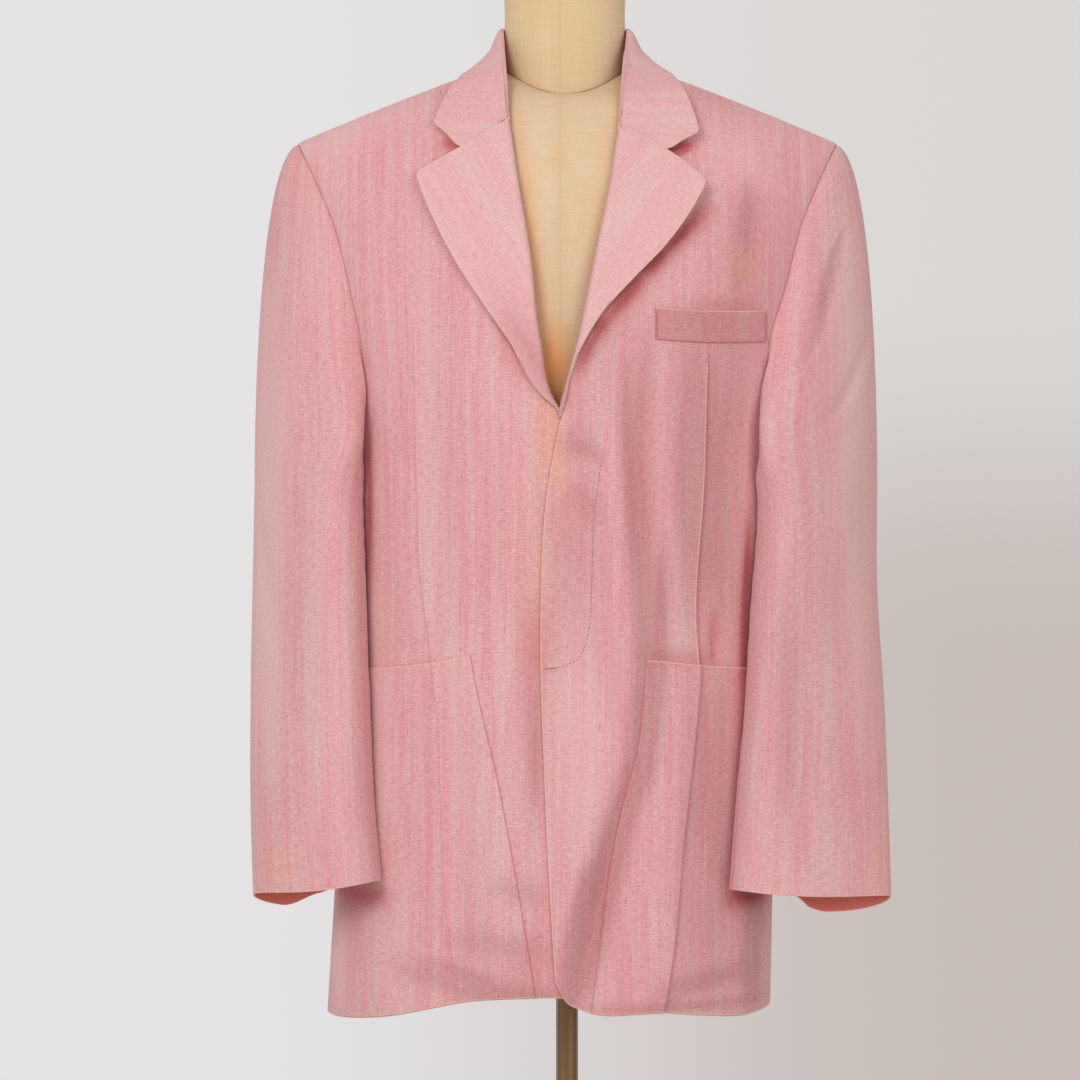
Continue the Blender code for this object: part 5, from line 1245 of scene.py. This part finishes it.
def sleeve_grid(side, turns):
    """Rows of points down a sleeve, from the armhole to the cuff."""
    turns = np.asarray(turns, float) % 360
    start = sleeve_start(side, turns)
    biceps = sleeve_ring(side, turns, np.full(turns.shape, BICEPS))
    fall = start[:, 2] - biceps[:, 2]
    swing, across = np.sin(np.radians(turns)), np.cos(np.radians(turns))
    low = ease(-across)  # 1 under the arm, where the cloth drops at once
    # How far out, forward and down the cloth leaves the armhole, for each metre of its fall.
    out, forward, down = 0.306 - 0.18 * low, 0.12 * swing, 0.07 + 0.60 * low
    leave = np.stack([SIGN[side] * out, -forward, -down], axis=-1) * fall[:, None]
    arrive = np.stack([0 * fall, 0 * fall, -1.12 * fall], axis=-1)
    rows, run = [], np.concatenate([np.linspace(0, 1, 81), 1 + np.linspace(0, 1, 101)[1:]])
    for t in run[run <= 1]:
        rows.append(smooth_run(t, start, leave, biceps, arrive))
    lift, drop, eased, eased_from = CUFF_HANG[side]
    drop = drop - eased * ease((eased_from - across) / 0.6)
    hang = lift * np.maximum(swing, 0) - drop * np.maximum(-swing, 0)
    hang += (across - 0.94) * across * CUFF_RISE[side]
    for share in run[run > 1] - 1:
        row = sleeve_ring(side, turns, np.full(turns.shape, BICEPS + (CUFF - BICEPS) * share))
        row[:, 2] += hang * share**2
        rows.append(row)
    grid, run = np.array(rows), run[:, None]
    signed = np.where(turns > 180, turns - 360, turns)[None, :]
    push = np.zeros(grid.shape[:2])
    for turn_top, run_top, turn_low, run_low, width, depth in SLEEVE_FOLDS[side]:
        share = (run - run_top) / (run_low - run_top)
        line = turn_top + (turn_low - turn_top) * share
        fade = np.sin(math.pi * np.clip(share, 0, 1)) ** 0.7
        push += depth * fade * np.exp(-(((signed - line) / width) ** 2))
    # Below the front of the armhole the cloth falls over the body's side.
    reach, height, above, below = FRONT_OVERHANG[side]
    from_height = grid[..., 2] - height
    from_height = from_height / np.where(from_height > 0, above, below)
    from_middle = (signed - OVERHANG_AT) / OVERHANG_WIDE
    over = np.exp(-(from_middle**2) - from_height**2) * ease(run / 0.15)
    grid[..., 0] -= SIGN[side] * reach * over
    grid[..., 1] -= 0.8 * reach * over
    aside = (grid - grid.mean(axis=1, keepdims=True)) * (1, 1, 0)
    grid = grid + unit(aside) * push[..., None]
    # It keeps off the body's side, a little more further down.
    clear = 0.0014 + 0.0018 * ease(run / 0.10) + 0.0010 * ease((0.96 - grid[..., 2]) / 0.05)
    near = ease((1.190 - grid[..., 2]) / 0.050) * ease(run / 0.04)
    return grid + (clear_of_side(grid, clear) - grid) * near[..., None]


def sleeve_part(side, name, first, last, count):
    """The upper or the under part, from one seam round to the other, in degrees."""
    turned = side == "right"
    turns = np.linspace(first, last, count)
    grid = sleeve_grid(side, turns)[::-1]
    # The warp runs straight down the arm, so above the biceps it is read in plan.
    _, ring_x, ring_y, wide, deep, _ = SLEEVE_RINGS[side][-1]
    ring_y = ring_y + 0.20 * np.clip(grid[..., 2] - BICEPS, 0, 0.1)
    turned_to = np.degrees(np.arctan2((ring_y - grid[..., 1]) / deep,
                                      (SIGN[side] * grid[..., 0] - ring_x) / wide))
    turned_to += 360 * np.round((turns - turned_to) / 360)
    above = ease((grid[..., 2] - BICEPS) / 0.11)
    across = (turns + (turned_to - turns) * above) / 360 * 0.40
    high = grid[..., 2]
    if not turned:
        grid, across, high = grid[:, ::-1], across[:, ::-1], high[:, ::-1]
    cloth = cut(grid, across + SLEEVE_CUT_AT[side], high, ("low",), SEWN_ROUND)
    cloth = seams(cloth, SEWN_ROUND, False)
    piece = panel(f"{name}_sleeve_{side}_cloth", cloth, SUITING, SLEEVE_MARKS)
    clothing(piece, f"{name}_sleeve_{side}")


for side in SIGN:
    sleeve_part(side, "upper", HIND_SEAM - 360, FORE_SEAM, 113)
    sleeve_part(side, "under", FORE_SEAM, HIND_SEAM, 37)


# ==== Lapels ===============================================================================
# The facings, turned back along the roll line and pressed: two layers of the suiting with a
# sharp notch, an edge stitched down by hand, and a soft roll down to the first hidden button.
TURNED = 0.0024  # two layers turned and pressed
# Down to up along its edge: share of the roll's length, x and height.
LAPEL_EDGE = {
    "left": ((-0.0485, -0.0082, 1.1022), (0.00, -0.0030, 1.1150), (0.09, 0.0020, 1.1400),
             (0.20, 0.0110, 1.1600), (0.34, 0.0290, 1.1895), (0.50, 0.0530, 1.2165),
             (0.68, 0.0820, 1.2470), (0.85, 0.1030, 1.2762), (1.00, 0.1170, 1.3015)),
    "right": ((-0.030, -0.0052, 1.1062), (0.00, -0.0140, 1.1130), (0.28, -0.0501, 1.1665),
              (0.41, -0.0678, 1.1921), (0.65, -0.0974, 1.2384), (0.95, -0.1259, 1.3010),
              (1.00, -0.1286, 1.3095)),
}
GORGE_BOW = {"left": 0.0075, "right": 0.0005}  # of its top edge, upwards
GORGE_TOP = {"left": 1.3465, "right": 1.3555}  # where the seam with the collar meets the roll
NOTCH_SHARE = {"left": 0.53, "right": 0.51}  # how far along that edge the notch opens
LAPEL_FOOT = 1.113
LAPEL_LIFT, LAPEL_WIDE = {"left": 0.0130, "right": 0.0070}, 0.078  # its rise at its width
ROLL_RADIUS, ROLL_TALL, ROLL_SUNK = 0.005, 0.0026, 0.0008
TIP_ROUND, TIP_IN, TIP_UP = 0.0070, 0.0018, 0.0002
LAPEL_CUT_AT = {"right": 7.9, "left": 7.2}
# Painted shade on the right lapel's lower part and along its roll.
LAPEL_MARKS = {
    "deeper": (
        (-0.073, 1.225, 0.003, 1.100, 0.0133, 0.35),),
    "hollow": (
        (-0.057, 1.195, 0.008, 1.092, 0.0125, 0.60), (-0.025, 1.283, -0.005, 1.117, 0.0042, 0.80)),
}


def turned_lift(side, from_roll):
    """Height of the turned-back cloth's face, at a distance from the roll."""
    rounded = np.sqrt(1 - (1 - np.clip(from_roll / ROLL_RADIUS, 0, 1)) ** 2)
    lift = LAPEL_LIFT[side] * (from_roll / LAPEL_WIDE) ** 2
    return (TURNED + ROLL_TALL) * rounded - ROLL_SUNK + lift


def lapel_grid(side):
    """Points of a lapel, rows from its foot to the gorge and columns from the roll outwards."""
    spread = np.concatenate([[0, 0.006, 0.016, 0.03, 0.05, 0.075], np.linspace(0.1, 1, 30)])
    rows = []
    for share in np.linspace(LAPEL_EDGE[side][0][0], 1, 100):
        z_roll = LAPEL_FOOT + (GORGE_TOP[side] - LAPEL_FOOT) * share
        x_roll = along(FRONT_EDGE[side], z_roll)
        x = x_roll + (along(LAPEL_EDGE[side], share, 1) - x_roll) * spread
        z = z_roll + (along(LAPEL_EDGE[side], share, 2) - z_roll) * spread
        z = z + GORGE_BOW[side] * 4 * spread * (1 - spread) * share**6
        # The tip is a little rounded.
        _, tip_x, tip_z = LAPEL_EDGE[side][-1]
        near = np.clip(1 - np.hypot(x - tip_x, z - tip_z) / TIP_ROUND, 0, 1) ** 2
        x, z = x - SIGN[side] * TIP_IN * near, z + TIP_UP * near
        rows.append(front_point(side, x, z, turned_lift(side, np.abs(x - x_roll))))
    return np.array(rows)


for side, area in (("right", 0.0140), ("left", 0.0115)):
    grid = lapel_grid(side)
    foot, tip = (np.array(LAPEL_EDGE[side][k][1:]) for k in (2, -2))
    along_edge = unit(tip - foot)
    place = grid[..., [0, 2]]
    high = place @ along_edge
    across = place @ np.array([along_edge[1], -along_edge[0]])
    turned = side == "right"
    lapel = cut(grid, across + LAPEL_CUT_AT[side], high, ("last", "high"))
    # Its top edge is tucked back and up under the collar, as far as the notch.
    tuck = np.interp(np.linspace(0, 1, grid.shape[1]), (0, 0.42, 0.5), (1, 1, 0))
    lapel[-1, :, 1:3] += tuck[:, None] * (0.0010, 0.0016)
    # The lapels are lighter all over, partly faded and partly painted light.
    piece = panel(f"lapel_{side}_cloth", lapel, TURNED, LAPEL_MARKS, turned, 0.0007, 0.60)
    clothing(piece, f"lapel_{side}")


# ==== Collar ===============================================================================
# One collar: a stand sewn to the neck, a roll, and a fall that lies over the shoulders and
# meets the lapels at the gorge.  Two layers of the suiting, pressed into shape.
COLLAR_TIP = {"left": (0.1100, 1.3450), "right": (-0.1130, 1.3540)}
COLLAR_ROLL_HALF = {"left": 0.0520, "right": 0.0555}
COLLAR_ROLL_TOP, COLLAR_ROLL_BACK = 1.4455, 1.4480
COLLAR_EDGE_SHOULDER, COLLAR_EDGE_DROP, FALL_HOLLOW = 0.0850, 0.37, 0.0058
FALL_SHARES, AT_NOTCH = (0.30, 0.52, 0.78, 1.0), 0.52  # down the fall, at the gorge
STITCHED_ON = 0.0006  # between the collar's stand and the blazer
ROLL_Y, ROLL_BACK_DEEP, EDGE_LIFT = 0.004, 0.0725, 0.0032
FRONT_HIGHEST = 1.4095  # as high as a front reaches beside the neck
COLLAR_CUT_AT = 8.6


def back_point(side, x, rise, lift):
    """A point on the blazer behind, at x and a rise from the underarm (0) upwards."""
    turned = 180 - abs(float(angle_from(x / half_width(rise))))
    return surface(side, SIGN[side] * turned, 1 + rise, lift)


def gorge_point(side, share):
    """A place on the lapel's top edge, from the roll (0) to the tip (1), in front view."""
    roll = np.array([along(FRONT_EDGE[side], GORGE_TOP[side]), GORGE_TOP[side]])
    bow = GORGE_BOW[side] * 4 * share * (1 - share)
    return roll + (np.array(LAPEL_EDGE[side][-1][1:]) - roll) * share + (0, bow)


def collar_station(side, place):
    """The seam, roll and edge of the collar at one place, and which way is outwards there.
    Place: 0 at the gorge, 0.5 at the shoulder, 1 at the centre back."""
    sign = SIGN[side]
    turn = math.pi / 2 * (1 - float(ease((place - 0.5) / 0.5)))
    out = np.array([sign * math.sin(turn), math.cos(turn), 0.0])
    z_gorge = GORGE_TOP[side]
    roll_x = along(FRONT_EDGE[side], z_gorge)
    if place <= 0.5:
        forward = 1 - place / 0.5  # 1 at the gorge, 0 at the shoulder
        neck_z = z_gorge + (shoulder_height(NECK_POINT) - z_gorge) * (1 - forward)
        set_back = ROLL_SET * float(behind_roll(neck_z)) - TURNED - STITCHED_ON
        edge_x = along(FRONT_EDGE[side], neck_z) + sign * set_back
        neck = front_point(side, edge_x, min(neck_z, FRONT_HIGHEST), STITCHED_ON)
        hidden = front_point(side, roll_x + sign * 0.0004, z_gorge, -0.0042)
        neck = neck + (hidden - neck) * float(ease((forward - 0.55) / 0.45))
        neck[2] += 0.0012 * (1 - forward)
        low = front_point(side, roll_x, z_gorge, 0.0)
        high = np.array([sign * COLLAR_ROLL_HALF[side], ROLL_Y, COLLAR_ROLL_TOP])
        roll = low + (high - low) * (1 - forward)
        roll[1] -= 0.008 * math.sin(math.pi * forward)
        tip_x, tip_z = COLLAR_TIP[side]
        tip_rise = float(front_place(tip_x, tip_z)[1]) - 1
        end_x = sign * COLLAR_EDGE_SHOULDER + (tip_x - sign * COLLAR_EDGE_SHOULDER) * forward
        rise = 1 - (1 - tip_rise) * forward**0.65
        lift = turned_lift(side, abs(tip_x - roll_x)) * forward + EDGE_LIFT * (1 - forward)
        angle = angle_from(end_x / half_width(rise))
        return neck, roll, surface(side, angle, 1 + rise, lift), out
    share, neck_x = math.cos(turn), sign * NECK_POINT * math.sin(turn)
    neck = back_point(side, neck_x, 1 - BACK_NECK_DROP * share, STITCHED_ON)
    neck[2] += 0.0016
    roll_x = sign * COLLAR_ROLL_HALF[side] * math.sin(turn)
    roll_z = COLLAR_ROLL_TOP + (COLLAR_ROLL_BACK - COLLAR_ROLL_TOP) * share
    roll = np.array([roll_x, ROLL_Y + ROLL_BACK_DEEP * share, roll_z])
    edge_x = sign * COLLAR_EDGE_SHOULDER * math.sin(turn)
    return neck, roll, back_point(side, edge_x, 1 - COLLAR_EDGE_DROP * share, EDGE_LIFT), out


def collar_line(side, place):
    """Points across the collar: up the stand, over the roll and down the fall to the edge."""
    neck, roll, edge, out = collar_station(side, place)
    stand = roll - neck
    up = unit(stand)
    bend = [roll + 0.0028 * out - 0.0010 * up, roll + 0.0050 * out - 0.0060 * up]
    inner = [neck, neck + 0.5 * stand, neck + 0.9 * stand - 0.0002 * out]
    falls = []
    for share in FALL_SHARES:
        hollow = FALL_HOLLOW * math.sin(math.pi * share**0.75)
        falls.append(bend[1] + (edge - bend[1]) * share - hollow * (out + up) / 2)
    end = max(0.0, 1 - place / 0.28) ** 1.5  # 1 at the gorge, where it lies as the lapel does
    if end > 0:
        roll_x = along(FRONT_EDGE[side], GORGE_TOP[side])
        notch, tip = gorge_point(side, NOTCH_SHARE[side]), np.array(COLLAR_TIP[side])
        for index, share in enumerate(FALL_SHARES):
            if share <= AT_NOTCH:
                x, z = gorge_point(side, share / AT_NOTCH * NOTCH_SHARE[side])
            else:
                x, z = notch + (tip - notch) * (share - AT_NOTCH) / (1 - AT_NOTCH)
            flat = front_point(side, x, z, turned_lift(side, abs(x - roll_x)))
            falls[index] = falls[index] + (flat - falls[index]) * end
        curl = [front_point(side, roll_x + SIGN[side] * d, GORGE_TOP[side], turned_lift(side, d))
                for d in (0.0025, 0.006)]
        bend = [b + (c - b) * end for b, c in zip(bend, curl)]
    return np.array(inner + [roll] + bend + falls)


def over_body(points, clear):
    """Lifts points that would sink into the shoulders or the back."""
    x, y, z = np.moveaxis(points, -1, 0)
    tall, turn = shoulder_height(x) - UNDERARM, roundness(y)
    wide = squared(x / half_width(rise_at(x, z, turn)))
    depth = wide * np.where(y < 0, CHEST_FRONT, CHEST_BACK)
    inside = (np.abs(y) / (depth + clear)) ** turn + ((z - UNDERARM) / (tall + clear)) ** turn
    scale = np.where(inside < 1, inside ** (-1 / turn), 1.0)
    return np.stack([x, y * scale, UNDERARM + (z - UNDERARM) * scale], -1)


places = np.linspace(0, 1, 56)
lines = [collar_line("right", place) for place in places]
lines += [collar_line("left", place) for place in places[-2::-1]]
# The points across become one smooth line each, closer together round the roll, point 5.
knots, AT_ROLL = np.arange(len(lines[0])), 5.0
steps = np.concatenate([np.linspace(0, 2, 10)[:-1], np.linspace(2, AT_ROLL, 19)[:-1],
                        np.linspace(AT_ROLL, 6, 6)[:-1], np.linspace(6, 9, 25)])
grid = np.array([[along(np.column_stack([knots, line]), steps, axis) for axis in (1, 2, 3)]
                 for line in lines]).transpose(0, 2, 1)
fall = steps >= 4
grid[:, fall] = over_body(grid[:, fall], TURNED + 0.0008)
width = np.linalg.norm(np.diff(grid, axis=1), axis=-1)
high = np.concatenate([np.zeros((len(grid), 1)), np.cumsum(width, 1)], 1)
at_roll = grid[:, np.searchsorted(steps, AT_ROLL)]
run = np.concatenate([[0], np.cumsum(np.linalg.norm(np.diff(at_roll, axis=0), axis=-1))])
# In front the yarns lie level, so the grain is read off as seen; behind, off the strip.
half_way = run[-1] / 2
from_gorge = half_way - np.abs(run - half_way)[:, None]
level_z = grid[..., 2] - min(GORGE_TOP.values())
seen = ease((0.105 - from_gorge) / 0.04)
across = from_gorge + (level_z - from_gorge) * seen + np.where(run > half_way, 0.4, 0.0)[:, None]
collar = cut(grid, across + COLLAR_CUT_AT, high, ("last", "low", "high"))
STAND = 0.0012  # its wall, thinner than the two layers of the fall
wall = STAND + (TURNED - STAND) * ease(steps - 6.3)
# The collar is lighter all over too, partly faded and partly painted light.
piece = panel("collar_cloth", collar, wall, {}, True, 0.0006, 0.50)
clothing(piece, "collar")


# ==== Stitches =============================================================================
# Polyester thread a shade deeper than the cloth: the curved row that holds the fly, sewn through
# the left front, the bar at its end, and the bars that hold the two ends of the breast welt.
THREAD = Finish("thread", Roughness=0.6, Base_Color=tint(176, 112, 112)).material


def stitches(name, lines, spacing, length, thick):
    """Rows of stitches along lines of points, each stitch a small long bead of thread."""
    mesh = bpy.data.meshes.new(name)
    points = np.concatenate(lines)
    starts = np.cumsum([0] + [len(line) for line in lines])
    joins = [(a + k, a + k + 1) for a, line in zip(starts, lines) for k in range(len(line) - 1)]
    mesh.from_pydata(points, joins, [])

    def layout(nodes, given):
        path = nodes.node("GeometryNodeMeshToCurve", {}, [given["Start"]])
        path = nodes.node("GeometryNodeResampleCurve", {"mode": "LENGTH"},
                          {"Curve": path, "Length": given["Spacing"]})
        ball = nodes.node("GeometryNodeMeshUVSphere", {},
                          {"Segments": 6, "Rings": 4, "Radius": 0.5})
        size = nodes.node("ShaderNodeCombineXYZ", {}, [given["Length"], given["Thick"],
                                                       given["Thick"]])
        stitch = nodes.node("GeometryNodeTransform", {}, {"Geometry": ball, "Scale": size})
        tangent = nodes.node("GeometryNodeInputTangent")
        turn = nodes.node("FunctionNodeAlignRotationToVector", {"axis": "X"}, {"Vector": tangent})
        rows = nodes.node("GeometryNodeInstanceOnPoints", {},
                          {"Points": path, "Instance": stitch, "Rotation": turn})
        return finished(nodes, rows, THREAD)

    row = made_by(name, layout, {"Spacing": spacing, "Length": length, "Thick": thick}, mesh)
    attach(row, "root")
    return row


FLY_ROW = ((0.0273, 1.0649), (0.0236, 1.0370), (0.0206, 1.0092), (0.0198, 0.9742),
           (0.0181, 0.9342), (0.0148, 0.9151), (0.0100, 0.9040), (0.0048, 0.8993),
           (-0.0060, 0.8945), (-0.0202, 0.8918))
place = np.linspace(0, len(FLY_ROW) - 1, 120)
table = np.column_stack([np.arange(len(FLY_ROW)), FLY_ROW])
fly = front_point("left", along(table, place, 1), along(table, place, 2), 0.0)
BAR_IN, BAR_LOW, BAR_HIGH, BAR_LIFT = 0.0012, 1.1690, 1.1905, SUITING + 0.0012  # on the welt
bars = [front_point("left", np.linspace(x0, x1, 8), np.linspace(z0, z1, 8), lift)
        for x0, z0, x1, z1, lift in (
            (-0.0195, 0.8930, -0.0100, 0.8936, 0.0003),
            (WELT_FROM + BAR_IN, BAR_LOW, WELT_FROM + BAR_IN, BAR_HIGH, BAR_LIFT),
            (WELT_TO - BAR_IN, BAR_LOW, WELT_TO - BAR_IN, BAR_HIGH, BAR_LIFT))]
stitches("fly_stitches", [fly], 0.0032, 0.0025, 0.0007)
stitches("bar_stitches", bars, 0.0009, 0.0011, 0.0005)


# ==== Studio ===============================================================================
# A plain pale floor, an even pale surround, a broad soft light high on the viewer's left and a
# weaker one on the right.  The camera stands level with the chest.
def studio_light(name, place, target, size, power, colour):
    """A square soft light that is turned to its target."""
    light = bpy.data.lights.new(name, "AREA")
    light.shape, light.size, light.size_y, light.energy = "RECTANGLE", size, size, power
    light.color = colour
    item = bpy.data.objects.new(name, light)
    item.location = place
    item.rotation_euler = (Vector(target) - Vector(place)).to_track_quat("-Z", "Y").to_euler()
    bpy.context.scene.collection.objects.link(item)


def floor_paint():
    finish = Finish("pale_floor", Roughness=0.9)
    place = finish.node("ShaderNodeTexCoord", out=3)
    cloud = finish.noise(place, (1.2, 1.2, 1.2), 3.0)
    return finish.feed(Base_Color=finish.blend(cloud, tint(214, 212, 213), tint(222, 220, 221)))


FLOOR_RADIUS, FLOOR_SIDES = 3.0, 96
turn = np.arange(FLOOR_SIDES) * 2 * math.pi / FLOOR_SIDES
rim = np.column_stack([FLOOR_RADIUS * np.cos(turn), FLOOR_RADIUS * np.sin(turn), 0 * turn])
new_piece("floor", rim, [list(range(FLOOR_SIDES))], floor_paint())

world = bpy.data.worlds.new("pale_surround")
bpy.context.scene.world = world
world.use_nodes = True
sky = Nodes(world.node_tree)
aside, behind, upward = sky.parts(sky.node("ShaderNodeTexCoord"))
right_side = sky.blend(sky.band(upward, -0.035, 0.075), tint(198, 187, 183), tint(217, 214, 211))
shade = sky.blend(sky.band(aside, -0.10, 0.13), tint(228, 226, 227), right_side)
dimmer = sky.node("ShaderNodeMapRange", {}, {0: behind, 1: -0.5, 2: 0.6, 3: 0.64, 4: 1.0})
shade = sky.node("ShaderNodeVectorMath", {"operation": "SCALE"}, {0: shade, 3: dimmer})
background = world.node_tree.nodes["Background"]
world.node_tree.links.new(shade.socket, background.inputs["Color"])
background.inputs["Strength"].default_value = 1.0

studio_light("key", (-1.3, -3.1, 2.4), (0.0, 0.0, 1.05), 1.2, 47.0, (1.0, 0.985, 0.965))
studio_light("fill", (1.5, -3.2, 1.7), (0.0, 0.0, 1.0), 1.8, 32.0, (1.0, 0.985, 0.97))

CAMERA_X, CAMERA_HIGH, CAMERA_AWAY = -0.0235, 1.0, 3.0
SEEN_WIDE, SENSOR = 0.9396, 36.0  # metres across the view at the blazer; sensor in mm
camera_data = bpy.data.cameras.new("camera")
camera_data.sensor_width, camera_data.lens = SENSOR, SENSOR * CAMERA_AWAY / SEEN_WIDE
camera = bpy.data.objects.new("camera", camera_data)
camera.location = (CAMERA_X, -CAMERA_AWAY, CAMERA_HIGH)
camera.rotation_euler = (math.pi / 2, 0.0, 0.0)
bpy.context.scene.collection.objects.link(camera)
bpy.context.scene.camera = camera
bpy.context.scene.view_settings.view_transform = "Standard"
